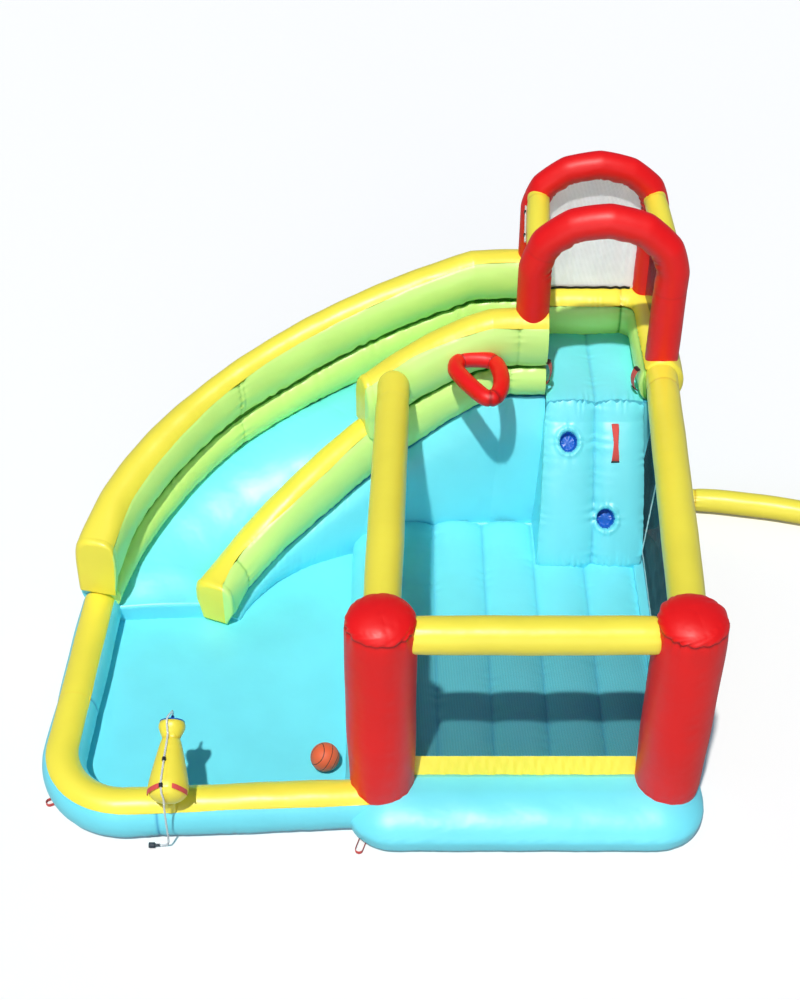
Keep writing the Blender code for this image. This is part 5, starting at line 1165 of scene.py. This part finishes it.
# The mask marks the inside of each pit, which gets painted shade.
pit_shade_mask = np.zeros(grid.shape[:2], bool)
for a, u in ((0.24, 0.77), (0.62, 0.33)):
    out, place = climb_out(a, u), climb_point(a, u)
    offset = grid - place
    lateral = offset - (offset @ out)[..., None] * out
    x, z = lateral[..., 0], lateral @ np.cross(out, (1.0, 0.0, 0.0))
    away, angle = np.hypot(x, z * 0.86), np.arctan2(z, x)
    rays = 0.5 + 0.5 * np.sin(angle * 9 + 1.3 * np.sin(angle * 4) + u * 9)
    push = -POCKET_DEPTH * ease((POCKET * 1.04 - away) / 0.022)
    push = push - 0.010 * np.exp(-np.abs(away - POCKET) / 0.035) * rays
    push = push + 0.010 * np.exp(-(((away - POCKET - 0.018) / 0.014) ** 2))
    grid = grid + out * (push * (offset @ out > -0.08) * (away < 0.2))[..., None]
    pit_shade_mask |= away < POCKET * 0.97
climb = skin("climbing_wall_cloth", grid, near=near)
dress(climb, blue_oxford, ("climbing_wall_left", "climbing_wall_right"))
# The pits' faces get the darker blue as painted shade.
climb.data.materials.append(pit_shade_oxford)
inside = pit_shade_mask.ravel()
in_pit_shade = [int(len(face.vertices) == 4 and all(inside[v] for v in face.vertices)) for face in climb.data.polygons]
climb.data.polygons.foreach_set("material_index", in_pit_shade)
print("climbing wall", len(in_pit_shade), "faces,", sum(in_pit_shade), "of them in the pockets")

# %% [markdown]
# Two red arches span the platform, joined by yellow roof tubes. Where an arch bends, its inner side has too
# much cloth and folds. The line is cut from straight panels, so the bend isn't quite round.


# %% Arches and roof tubes
def arch_line(legs, depths, spring, top):
    centre, half = sum(legs) / 2, (legs[1] - legs[0]) / 2
    line = [(legs[0], depths[0], 1.62)]
    for angle in np.radians(np.linspace(180, 0, 60)):
        across, up = math.cos(angle), math.sin(angle)
        line.append((centre + half * across, mix(*depths, (1 + across) / 2), spring + (top - spring) * up))
    line.append((legs[1], depths[1], 1.36))
    panels = evenly([line[0], *line[1:-1:10], line[-2], line[-1]], count=320)
    return evenly(mix(evenly(line, count=320), panels, 0.6), 0.009)


def arch(node_name, radius, legs, depths, spring, top):
    line = arch_line(legs, depths, spring, top)
    grid = sweep(line, radius, 48, (0, 1, 0))
    normal = facing(grid)[0]
    middle = np.array((sum(legs) / 2, line[:, 1].mean(), spring - 0.05))
    inside = np.clip((normal * unit(middle - grid)).sum(-1), 0, 1) ** 1.6
    height = grid.mean(1)[:, 2]
    bent = ease((height - spring + 0.10) / 0.12) * (1 - ease((height - spring - 0.30) / 0.1))
    folds = inside * (bent * (0.5 + 0.5 * ripple(distances(grid)[0], 0.075, 0.6)))[:, None]
    grid = grid - normal * (0.014 * folds)[..., None]
    joins = [(quarter * (len(line) // 4), 0.0006, 0.004, 0.02, 0.05) for quarter in (1, 3)]
    chamber(node_name, grid, red_oxford, [(24, 0.001, 0.003, 0.02, 0.08)], joins, belly=0.0, slack=0.002)


ROOF = 0.075
inner_back, outer_back = SLIDE_CENTRE[1] + INNER_REACH[1], SLIDE_CENTRE[1] + OUTER_REACH[1]
arch_ends = (inner_back + 0.02, inner_back - 0.04)
FRONT_ARCH = {"legs": (0.13, 1.005), "depths": arch_ends, "spring": 2.12, "top": 2.49}
REAR_ARCH = {"legs": (0.165, 0.975), "depths": (outer_back, outer_back), "spring": 2.16, "top": 2.475}
arch("front_arch", 0.11, **FRONT_ARCH)
arch("rear_arch", 0.095, **REAR_ARCH)
roof_ends = []
for name, side in (("left_roof_tube", 0), ("right_roof_tube", 1)):
    ends = []
    for shape, height in ((FRONT_ARCH, 2.20), (REAR_ARCH, 2.26)):
        legs, depths, spring, top = shape.values()
        reach = (legs[1] - legs[0]) / 2 * math.sqrt(1 - ((height - spring) / (top - spring)) ** 2)
        ends.append(np.array((sum(legs) / 2 + (2 * side - 1) * reach, depths[side], height)))
    grid = sweep(evenly(ends, 0.009), ROOF, 36, (0, 0, 1))
    joins = [(row, 0.002, 0.006, 0.025, 0.04) for row in (12, len(grid) - 12)]
    chamber(name, grid, yellow_oxford, [(27, 0.001, 0.003, 0.02, 0.06)], joins, belly=0.0, slack=0.0015)
    roof_ends.append(ends)
print("roof tubes", [round(float(np.linalg.norm(end - start)), 2) for start, end in roof_ends], "m")

# %% [markdown]
# Nets are thin sheets that hang between the tubes. They are cut a little too big, so they lie in soft folds:
# a few slow waves, held still along the edges.


# %% Nets
def net(node_name, corners, finish, folds, out, rows=120, columns=160):
    """corners are the sheet's lower left, lower right, upper left and upper right."""
    bl, br, tl, tr = (np.array(corner, float) for corner in corners)
    v, u = np.linspace(0, 1, rows)[:, None, None], np.linspace(0, 1, columns)[None, :, None]
    grid = (bl * (1 - u) + br * u) * (1 - v) + (tl * (1 - u) + tr * u) * v
    hold = np.sin(math.pi * u[..., 0]) ** 0.4 * np.sin(math.pi * v[..., 0]) ** 0.4
    wave = np.zeros((rows, columns))
    for across, upward, size, start in folds:
        wave += size * np.sin(2 * math.pi * (u[..., 0] * across + v[..., 0] * upward) + start)
    grid = grid + np.array(out) * (wave * hold)[..., None]
    piece = skin(f"{node_name}_sheet", grid, around=False, ends=False, towards=out)
    dress(piece, finish, node_name)


POST_GAP = 0.006
foot_side = POST_X - math.sqrt((POST_RADIUS * 1.02) ** 2 - 0.075**2) - POST_GAP
side = POST_X - POST_RADIUS * 1.02 - POST_GAP
band_y = POST_Y + 0.075
low = RAIL * RAIL_SWELL + 0.003
corners = [(x, band_y - 0.006, 0.392) for x in (-foot_side, foot_side)]
corners += [(x, POST_Y, RAIL_Z - low) for x in (-side, side)]
folds = [(3, 1.5, 0.004, 0.4), (7, -3, 0.0025, 1.0), (1, 5, 0.003, 2.0)]
net("front_net", corners, dark_net, folds, (0, -1, 0))
net_front, net_back = POST_Y + POST_RADIUS + 0.012, TOWER_FRONT - 0.006


def under_rail(y):
    share = (y - RIGHT_START[1]) / (TOWER_FRONT - RIGHT_START[1])
    z = mix(RAIL_Z, RIGHT_END[2], share) - RAIL * RAIL_SWELL - 0.004
    return (mix(RIGHT_START[0], RIGHT_END[0], share), y, z)


right_foot = TOWER_LEFT + CLIMB_WIDTH + 0.012
corners = [(right_foot - 0.01, net_front, 0.283), (right_foot, net_back, 0.283)]
corners += [under_rail(net_front), under_rail(net_back)]
folds = [(5, 2, 0.006, 0.2), (11, -2, 0.004, 1.3), (2, 6, 0.005, 2.1)]
net("right_net", corners, dense_net, folds, (1, 0, 0))

# %% [markdown]
# A yellow band closes the foot of the front net, in many small folds. The side net hangs from the right roof
# tube. The white mesh at the back is cut round at the top to follow its arch, and hangs in upright pleats.

# %% The sill band, the side net and the back mesh
corners = [(x, band_y - 0.062, 0.268) for x in (-foot_side, foot_side)]
corners += [(x, band_y - 0.006, 0.39) for x in (-foot_side, foot_side)]
folds = [(9, 0.5, 0.003, 0.4), (23, -0.4, 0.0018, 1.0), (41, 1, 0.0010, 2.0)]
net("sill_band", corners, yellow_oxford, folds, (0, -1, 0), 40, 300)
sill_top, mesh_y = PLATFORM_HEIGHT + 0.30, REAR_ARCH["depths"][0]
mesh_left, mesh_right = REAR_ARCH["legs"]
half_x, rise_x = (mesh_right - mesh_left) / 2 - 0.08, REAR_ARCH["top"] - REAR_ARCH["spring"] - 0.08
u, v = np.linspace(0, 1, 180), np.linspace(0, 1, 130)
a = 2 * u - 1
top = REAR_ARCH["spring"] + rise_x * np.sqrt(np.maximum(0.0, 1 - (a * 0.985) ** 2))
pleat = 0.0018 * np.sin(2 * math.pi * u * 9 + 1.2 * np.sin(u * 21)) + 0.002 * np.sin(2 * math.pi * u * 4)
y = mesh_y + pleat[None, :] * np.sin(math.pi * np.clip(v, 0.03, 0.97))[:, None] ** 0.5
z = (sill_top + 0.006) * (1 - v)[:, None] + top[None, :] * v[:, None]
grid = field((mesh_left + mesh_right) / 2 + half_x * a, y, z)
piece = skin("back_mesh_sheet", grid, around=False, ends=False, towards=(0, -1, 0))
dress(piece, white_mesh, "back_mesh")
start, end = roof_ends[1]
along_roof = (end - start) / (end[1] - start[1])
net_start = start + along_roof * 0.124 - (0, 0, ROOF + 0.014)
net_end = end - along_roof * 0.109 - (0, 0, ROOF + 0.014)
corners = [(x, y, sill_top + 0.012) for x, y, _ in (net_start, net_end)] + [net_start, net_end]
folds = [(2, 1, 0.005, 0.3), (5, -2, 0.003, 1.0)]
net("side_net", corners, dark_net, folds, (1, 0, 0), 70, 70)

# %% [markdown]
# A net's cut edge would fray, so it is folded into a woven tape. The tapes wander by a few millimetres, as a
# hand-guided seam does, and lie 4 mm before the net.


# %% Binding tapes of the nets
def tape(name, line, wide, across, out, finish):
    line, across, out = evenly(line, 0.006), np.array(across), np.array(out)
    wander = 0.004 * ripple(distances(line[:, None])[0], 0.09, 0.7)
    line = line + across * wander[:, None] + out * 0.004
    half = np.linspace(-wide / 2, wide / 2, 5)[None, :, None]
    dress(skin(name, line[:, None] + across * half, around=False, ends=False, towards=out), finish)
    print(name, "has", len(line), "rows")


mesh_foot = [(x, mesh_y - 0.008, sill_top + 0.016) for x in (mesh_left + 0.11, mesh_right - 0.11)]
tape("back_mesh_binding", mesh_foot, 0.02, (0, 0, 1), (0, -1, 0), thread_black)
upright = [(0.938, 0.81, 1.17), (0.905, 0.85, 0.37)]
tape("right_net_binding_upright", upright, 0.034, (0, 1, 0), (-1, 0, 0), white_binding)
level = [(0.905, 0.85, 0.37), (0.899, 0.30, 0.34), (0.897, net_front + 0.01, 0.30)]
tape("right_net_binding_level", level, 0.034, (0, 0, 1), (-1, 0, 0), white_binding)

# %% [markdown]
# The ring for the ball is a small red tube, level with the top of the slide's wall and sewn to it. It isn't a
# true circle: the tube kinks at its corners and comes to a blunt point in front, where its ends are joined.

# %% Hoop
HOOP_LEVEL, HOOP_TUBE = 1.53, 0.055
points = [(-0.385, 1.36), (-0.345, 1.45), (-0.22, 1.465), (-0.12, 1.43), (-0.08, 1.30)]
points += [(-0.085, 1.15), (-0.13, 1.04), (-0.19, 1.035), (-0.26, 1.12), (-0.34, 1.25)]
ring = [(x, y, HOOP_LEVEL) for x, y in points]


def nearest(line, point):
    return int(np.argmin(np.linalg.norm(line - np.array(point), axis=1)))


line = through([*ring[-3:], *ring, *ring[:4]], 0.008)
half_way = len(line) // 2
line = line[nearest(line[:half_way], ring[0]) : half_way + nearest(line[half_way:], ring[0])]
front_join = nearest(line, (-0.16, 1.035, HOOP_LEVEL))
line = line.mean(0) + (line - line.mean(0)) * 0.955
joins = [(nearest(line, ring[k]), 0.004, 0.006, 0.02, 0.03) for k in (1, 3, 6)]
joins.append((front_join, 0.005, 0.004, 0.015, 0.03))
grid = sweep(line, HOOP_TUBE, 32, (0, 0, 1), loop=True)
chamber("hoop", grid, red_oxford, [(16, 0.001, 0.003, 0.015, 0.04)], joins, loop=True, belly=0.0, slack=0.001)
print("hoop", len(line), "rows round")

# %% [markdown]
# Straps are flat webbing 50 mm wide, sewn down at both ends under a dark buckle plate, with a lifted middle
# to hold on to. The webbing's section is a cosine with squared sides, so its edges stay crisp.

# %% Webbing straps
WEB, CRISP = 0.0016, 0.35


def strap(name, node_name, start, end, out, across, lift, width=0.05, body="frame", waist=0.0, plates=(0, 1)):
    start, end, out, across = arrays(start, end, out, across)
    across, share = unit(across), np.linspace(0.0, 1.0, 46)
    rise_up = lift * np.maximum(np.sin(math.pi * share), 0.0) ** 0.55
    line = start + (end - start) * share[:, None] + out * (rise_up + 0.0008)[:, None]
    ahead = unit(np.gradient(line, axis=0))
    thick = unit(np.cross(ahead, across))
    thick *= np.sign((thick @ out).mean())
    half = width / 2 * (1 - waist * np.sin(math.pi * share) ** 2)[:, None]
    turn = np.linspace(0, 2 * math.pi, 24, endpoint=False)
    c, s = blunt(np.cos(turn), CRISP), np.sin(turn)
    grid = (line + thick * WEB)[:, None] + half[:, None] * c[None, :, None] * across
    grid = grid + thick[:, None] * (WEB * s)[None, :, None]
    dress(skin(name, grid), coral_webbing, node_name, body)
    for index in plates:
        place, inward = (line[0], ahead[0]) if index == 0 else (line[-1], -ahead[-1])
        box = []
        for t in np.linspace(0, 1, 8):
            size = 1.0 if 0.1 < t < 0.9 else 0.86
            ring = place + inward * (0.022 * t - 0.006) + across * (width * 0.56 * size * c)[:, None]
            box.append(ring + out * (0.004 + 0.0045 * size * s)[:, None])
        dress(skin(f"{name}_buckle_{index + 1}", np.array(box)), buckle_plastic, (), body)


wall_face, guard_face = TOWER_LEFT - 0.0081, right - WALL - 0.002
ends = ((wall_face, 1.515, 1.29), (wall_face, 1.515, 1.47))
strap("left_handle_strap", "left_handle", *ends, (1, 0, 0), (0.4, 1, 0), 0.03)
ends = ((guard_face, 1.53, 1.23), (guard_face, 1.53, 1.40))
strap("right_handle_strap", "right_handle", *ends, (-1, 0, 0), (-0.4, 1, 0), 0.03)
ends, out = (climb_point(0.70, 0.66), climb_point(0.70, 0.86)), climb_out(0.70, 0.76)
strap("climbing_strap_webbing", "climbing_strap", *ends, out, (1, 0, 0), 0.05, waist=0.35, plates=(0,))
print("strap is", 2000 * WEB, "mm thick")

# %% [markdown]
# A loop of the same webbing for a ground peg is sewn under the edge in three places. It stands on its edge,
# runs out from the foot, turns in a half circle and comes back.


# %% Peg loops
def peg_loop(name, node_name, foot, out, length=0.085, width=0.045):
    foot, out = np.array((*foot, 0.0)), unit(np.array((*out, 0.0)))
    side, half = np.array((-out[1], out[0], 0.0)), width / 2
    tip = foot + out * (length - half)
    line = [foot - out * 0.04 + side * half, tip + side * half]
    for angle in np.radians(np.linspace(80, -80, 17)):
        line.append(foot + out * (length - half + half * math.cos(angle)) + side * half * math.sin(angle))
    line = evenly([*line, tip - side * half, foot - out * 0.04 - side * half], 0.005)
    inner = unit(np.cross(np.gradient(line, axis=0), (0, 0, 1.0)))
    turn = np.linspace(0, 2 * math.pi, 20, endpoint=False)
    tall = 0.0125 * blunt(np.sin(turn), CRISP) + 0.0135
    grid = line[:, None] + inner[:, None] * (0.0015 * np.cos(turn))[None, :, None]
    dress(skin(name, grid + np.array((0, 0, 1.0)) * tall[None, :, None]), coral_webbing, node_name)


PEG_TURN = math.radians(207)
out = np.array((math.cos(PEG_TURN), math.sin(PEG_TURN)))
peg_loop("pool_peg_loop", "anchor_pool", corner[:2] + out * (POOL_CORNER + 0.07), out)
base_corner = (-BASE_WIDTH / 2 + 0.11, -BASE_DEPTH / 2 + 0.10)
peg_loop("left_peg_loop", "anchor_left", base_corner, (-0.3, -1.0))
place, out = (value[0] for value in slide_place(OUTER_REACH, np.array([0.82])))
peg_loop("slide_peg_loop", "anchor_slide", (place + out * 0.15)[:2], out[:2])
print("peg loops", sum("peg_loop" in name for name in faces_made))

# %% [markdown]
# The water cannon is a small inflated barrel on a stalk. It turns about the stalk, so everything sewn to the
# barrel rides on the body called cannon. The blue cap is moulded, with a spout that the hose ends in.


# %% Cannon barrel, stalk and cap
def on_cannon(grid):
    return grid @ np.array(tilt).T + np.array(tuple(CANNON))


stations = [np.linspace(-REAR * 0.995, -0.05, 16), np.linspace(-0.045, NECK_AT, 60)]
stations = np.r_[(*stations, np.linspace(NECK_AT, LENGTH, 26)[1:])]
profile = [(max(barrel_radius(at), 0.006), at) for at in stations]
profile += [(HEAD * 0.9, LENGTH + 0.0005), (HEAD * 0.4, LENGTH + 0.0005)]
neck_row, belly_row = (int(np.argmin(np.abs(stations - at))) for at in (NECK_AT, 0.0))
chamber(
    "cannon_barrel",
    on_cannon(turned(profile, (0, 0, 0), 72)),
    yellow_oxford,
    [(column, 0.0008, 0.002, 0.015, 0.05) for column in (18, 54)],
    [(neck_row, 0.002, 0.005, 0.03, 0.03), (belly_row, 0.0, 0.002, 0.02, 0.04)],
    body="cannon",
    belly=0.0,
    slack=0.0008,
)
stalk_foot, stalk_top = (corner.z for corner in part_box("cannon_stalk"))
waists = [(0.035 * mix(1.0, 0.93, math.sin(math.pi * t)), t) for t in np.linspace(0, 1, 24)]
profile = [(radius, mix(stalk_foot, stalk_top - 0.001, t)) for radius, t in waists]
grid = turned(profile, (CANNON.x, CANNON.y, 0), 48)
chamber("cannon_stalk", grid, yellow_oxford, [], [(0, 0.0, 0.002, 0.01, 0.02)], belly=0.0, slack=0.0005)
CAP_FOOT = LENGTH + HAIR
CAP_FACE, CAP_TIP = CAP_FOOT + 0.012, CAP_FOOT + 0.012 + 0.03
profile = [(0.05, CAP_FOOT), (0.0725, CAP_FOOT), (0.0745, CAP_FOOT + 0.003), (0.072, CAP_FOOT + 0.008)]
profile += [(0.062, CAP_FACE - 0.001), (0.050, CAP_FACE), (0.024, CAP_FACE), (0.0205, CAP_FACE + 0.001)]
profile += [(0.0195, CAP_FACE + 0.009), (0.016, CAP_FACE + 0.0115), (0.0105, CAP_FACE + 0.012)]
profile += [(0.0100, CAP_TIP - 0.001), (0.009, CAP_TIP), (0.0045, CAP_TIP), (0.004, CAP_TIP - 0.001)]
profile.append((0.004, CAP_TIP - 0.018))
dress(skin("cannon_cap", on_cannon(turned(profile, (0, 0, 0), 64))), cap_plastic, "cannon_nozzle", "cannon")
print("cap", len(profile), "rings")

# %% [markdown]
# The water hose lies on the barrel under two loops of black webbing, bends over the cap and pushes into the
# spout. A grip of coral webbing sits on each side of the belly.

# %% The hose on the barrel, its clips and the cannon's handles
axis, above = tilt @ Vector((0, 0, 1)), tilt @ Vector((0, -1, 0))
tip = CANNON + axis * (CAP_TIP + HAIR)
marks = [seam + along * 0.008, *(hose_point(at) for at in (0.0, 0.09, 0.18, NECK_AT, NECK_AT + 0.03))]
marks += [hose_point(LENGTH - 0.025, 0.004), hose_point(LENGTH + 0.008, 0.006)]
marks += [tip + above * 0.045 + axis * 0.012, tip + above * 0.012 + axis * 0.022, tip + axis * 0.008]
line = np.vstack([tuple(seam), through(marks, 0.008), tuple(tip)])
dress(skin("held_water_hose", sweep(line, HOSE, 20)), clear_pvc, "cannon_hose_held", "cannon")


def loop_clip(node_name, centre, ahead, out, body):
    centre, ahead, out = arrays(centre, ahead, out)
    side = unit(np.cross(ahead, out))
    turn = np.radians(np.linspace(-8, 188, 26))[:, None]
    line = centre + (side * np.cos(turn) + out * np.sin(turn)) * (HOSE_CLEAR + 0.0015)
    inner = unit(np.cross(np.gradient(line, axis=0), ahead))
    turn = np.linspace(0, 2 * math.pi, 20, endpoint=False)
    wide = 0.012 * blunt(np.cos(turn), CRISP)
    grid = line[:, None] + ahead * wide[None, :, None] + inner[:, None] * (0.0014 * np.sin(turn))[None, :, None]
    dress(skin(f"{node_name}_webbing", grid), black_webbing, node_name, body)


for name, at in (("cannon_clip_rear", -0.02), ("cannon_clip_front", 0.14)):
    ahead, centre = hose_direction(at), hose_point(at)
    out = hose_point(at, 0.01) - centre
    loop_clip(name, centre, ahead, (out - ahead * out.dot(ahead)).normalized(), "cannon")
for name, side in (("cannon_left_handle", -1), ("cannon_right_handle", 1)):
    out = (on_barrel(-0.03, side * 49) - CANNON).normalized()
    ends = (on_barrel(-0.02, side * 18), on_barrel(-0.04, side * 80))
    strap(f"{name}_webbing", name, *ends, out, axis, 0.026, 0.03, "cannon", plates=())
print("held hose", round(float(np.linalg.norm(np.diff(line, axis=0), axis=1).sum()), 3), "m")

# %% [markdown]
# The quick connector is moulded in two parts: a tail that the hose is pushed on to, and a nut with grip
# ribs that turns on it. Both are profiles of radius and height, laid down along the ground.


# %% Connector and nut
def on_ground(grid):
    return np.stack([-grid[..., 2], grid[..., 1], grid[..., 0]], -1) + np.array(tuple(CONNECTOR))


profile = [(0.0045, -0.0499), (0.0075, -0.0499), (0.008, -0.0485), (0.008, -0.0225), (0.0105, -0.022)]
profile += [(0.011, -0.021), (0.011, 0.0115), (0.0105, 0.012), (0.004, 0.012)]
tail = skin("connector_tail", on_ground(turned(profile, (0, 0, 0), 40)))
dress(tail, connector_plastic, "hose_connector")
RIBS, RIB_DEPTH = 14, 0.0008
angle = np.linspace(0, 2 * math.pi, 96, endpoint=False)
ribs = 0.5 + 0.5 * np.sin(angle * RIBS)
profile = [(0.0116, 0.016, 0), (0.0156, 0.0178, 0), (0.0168, 0.0145, 0), (0.0166, 0.013, 1), (0.0166, 0.0, 1)]
profile += [(0.0166, -0.013, 1), (0.0168, -0.0145, 0), (0.0156, -0.0178, 0), (0.0116, -0.0175, 0)]
rings = []
for radius, z, ribbed in profile:
    r = radius - RIB_DEPTH * ribbed * ribs
    rings.append(field(r * np.cos(angle), r * np.sin(angle), z))
nut = skin("connector_nut_ribbed", on_ground(np.array(rings)), ends=False, loop=True)
dress(nut, connector_plastic, "connector_nut", "nut")
print("nut with", RIBS, "ribs")

# %% [markdown]
# The ball is soft rubber with eight panels, parted by black lines: two great circles, and a curved line on
# each side. The lines are sunk by a millimetre, and the rubber has a fine pebbled grain.

# %% Ball
BALL, LINE_HALF, LINE_DEPTH, PEBBLE_SCALE = 0.09, 0.026, 0.012, 420.0
ball_centre = np.array((-1.2045, -0.74, 0.03 + BALL + 0.0005))
lat, lon = np.radians(np.linspace(-89.5, 89.5, 110))[:, None], np.linspace(0, 2 * math.pi, 220, endpoint=False)
sphere = field(np.cos(lat) * np.cos(lon), np.cos(lat) * np.sin(lon), np.sin(lat))
aim = np.array(Matrix.Rotation(math.radians(34), 3, "Y") @ Matrix.Rotation(math.radians(-38), 3, "X"))
local = sphere @ aim
curved = np.abs(np.abs(local[..., 0]) - 0.50 - 0.22 * local[..., 2] ** 2)
line_gap = np.minimum(np.minimum(np.abs(local[..., 0]), np.abs(local[..., 1])), curved)
line_on = np.exp(-((line_gap / LINE_HALF) ** 4))
grid = sphere * (BALL * (1 - LINE_DEPTH * line_on))[..., None] + ball_centre
ball = skin("ball_rubber_skin", grid, near=line_on)
rubber, tree, shader = blank("pebbled_ball_rubber", 0.55, 1.52)
black_line = node(tree, "ShaderNodeAttribute", {"attribute_name": "near_seam"})
sharp = node(tree, "ShaderNodeMapRange", {1: 0.4, 2: 0.6}, {0: black_line.outputs["Fac"]})
colours = {"data_type": "RGBA", 6: (*linear("#F0683C"), 1), 7: (*linear("#2A1512"), 1)}
tint = node(tree, "ShaderNodeMix", colours, {0: sharp.outputs[0]})
tree.links.new(tint.outputs[2], shader.inputs["Base Color"])
place = node(tree, "ShaderNodeTexCoord")
pebble = node(tree, "ShaderNodeTexVoronoi", {2: PEBBLE_SCALE}, {0: place.outputs["Object"]})
bump = node(tree, "ShaderNodeBump", {0: 0.35, 1: 0.0005}, {"Height": pebble.outputs[0]})
tree.links.new(bump.outputs[0], shader.inputs["Normal"])
dress(ball, rubber, "ball", "ball")
print("ball", 2 * BALL, "m across")

# %% [markdown]
# Behind the tower lies the inflation sleeve: a soft yellow tube whose open mouth goes over a blower's outlet.
# Its rows run out to the mouth, turn over the rim and come back as the lining. A short clear hose runs along
# the left roof tube under two webbing clips.

# %% Inflation sleeve, roof hose and clips
SLEEVE, SLEEVE_CLOTH = 0.085, 0.006
points = [(1.10, 1.71), (1.4525, 1.69), (1.80, 1.635), (2.1415, 1.56), (2.34, 1.52)]
line = through([(x, y, SLEEVE + 0.001) for x, y in points], 0.010)
outside = sweep(line, SLEEVE, 48, (0, 0, 1))
lining_mouth = sweep(line[-2:], SLEEVE - SLEEVE_CLOTH, 48, (0, 0, 1))[-1:]
rim = (outside[-1:] + lining_mouth) / 2 + unit(line[-1] - line[-2]) * 0.001
joins = [(30, 0.004, 0.008, 0.04, 0.05), (len(outside) - 3, 0.0, 0.003, 0.03, 0.05)]
grid, near = folded(outside, [(36, 0.001, 0.003, 0.02, 0.06)], joins, slack=0.004, belly=0.0)
grid[..., 2] = np.maximum(grid[..., 2], 0.0012)
mouth_half, mouth_line = grid[len(line) // 2 :][::-1], line[len(line) // 2 :][::-1]
lining_rows = mouth_half - unit(mouth_half - mouth_line[:, None]) * SLEEVE_CLOTH
near = np.vstack([near, near[-1:], np.zeros(lining_rows.shape[:2])])
sleeve = skin("inflation_sleeve_cloth", np.vstack([grid, rim, lining_rows]), near=near)
dress(sleeve, yellow_oxford, "inflation_sleeve")
start, end = roof_ends[0]
beside = np.array((-(ROOF + HOSE_CLEAR), 0.0, 0.0))
line = through([start + (end - start) * share + beside for share in (0.24, 0.40, 0.60, 0.80)], 0.010)
dress(skin("roof_water_hose", sweep(line, HOSE, 20)), clear_pvc, "roof_hose")
for name, share in (("roof_clip_front", 0.34), ("roof_clip_rear", 0.70)):
    loop_clip(name, start + (end - start) * share + beside, unit(end - start), (-1, 0, 0), "frame")
print("pieces", len(faces_made), "faces", sum(faces_made.values()))

# %% [markdown]
# The stage: a pale floor that keeps the shadow, white to the camera, under one large soft lamp high on the
# left behind the camera. A wide, weak fill comes from the front, nearly level, so it lights the upright faces
# and leaves the shadows on the floors deep. The even sky is blue, as the shadows outdoors are, but the
# camera sees white instead of it, also through the clear hose. At this level a colour renders about as it
# is written.

# %% Floor and light
STAGE, STAGE_DROP = 30, -0.002
grid = field(np.array([-STAGE, STAGE], float), np.array([[-STAGE], [STAGE]], float), STAGE_DROP)
floor = skin("studio_floor", grid, around=False, ends=False, towards=(0, 0, 1))
pale, tree, shader = blank("pale_studio_floor", 0.9, emission_color=(1, 1, 1, 1))
seen = node(tree, "ShaderNodeLightPath")
paint = {"data_type": "RGBA", 6: (0.46, 0.45, 0.44, 1), 7: (1.0, 0.975, 0.945, 1)}
paint = node(tree, "ShaderNodeMix", paint, {0: seen.outputs["Is Camera Ray"]})
tree.links.new(paint.outputs[2], shader.inputs["Base Color"])
# To the camera alone the floor is a hair brighter than the lamps make it, so that it meets the white behind.
lift = node(tree, "ShaderNodeMath", {"operation": "MULTIPLY", 1: 0.05}, {0: seen.outputs["Is Camera Ray"]})
tree.links.new(lift.outputs[0], shader.inputs["Emission Strength"])
floor.data.materials.append(pale)


def sun(name, energy, colour, spread, direction):
    lamp = bpy.data.lights.new(name, "SUN")
    lamp.energy, lamp.color, lamp.angle = energy, colour, math.radians(spread)
    holder = bpy.data.objects.new(name, lamp)
    holder.rotation_euler = Vector(direction).to_track_quat("-Z", "Y").to_euler()
    bpy.context.scene.collection.objects.link(holder)


sun("soft_key", 2.88, (1.0, 0.97, 0.93), 1.6, (0.15, 0.46, -1.0))
sun("wide_fill", 0.8, (1.0, 1.0, 1.0), 50, (0.1, 1.0, -0.12))
world = bpy.data.worlds.new("even_sky")
bpy.context.scene.world = world
world.use_nodes = True
tree = world.node_tree
sky = tree.nodes["Background"]
sky.inputs[0].default_value = (0.30, 0.60, 1.0, 1.0)
sky.inputs[1].default_value = 0.23
white = node(tree, "ShaderNodeBackground", {0: (1, 1, 1, 1), 1: 1.0})
path = node(tree, "ShaderNodeLightPath")
straight_rays = {0: path.outputs["Is Camera Ray"], 1: path.outputs["Is Transmission Ray"]}
straight_rays = node(tree, "ShaderNodeMath", {"operation": "MAXIMUM"}, straight_rays)
shown = {0: straight_rays.outputs[0], 1: sky.outputs[0], 2: white.outputs[0]}
shown = node(tree, "ShaderNodeMixShader", {}, shown)
tree.links.new(shown.outputs[0], tree.nodes["World Output"].inputs[0])
bpy.context.scene.view_settings.view_transform = "Standard"
print("lamps", len(bpy.data.lights))
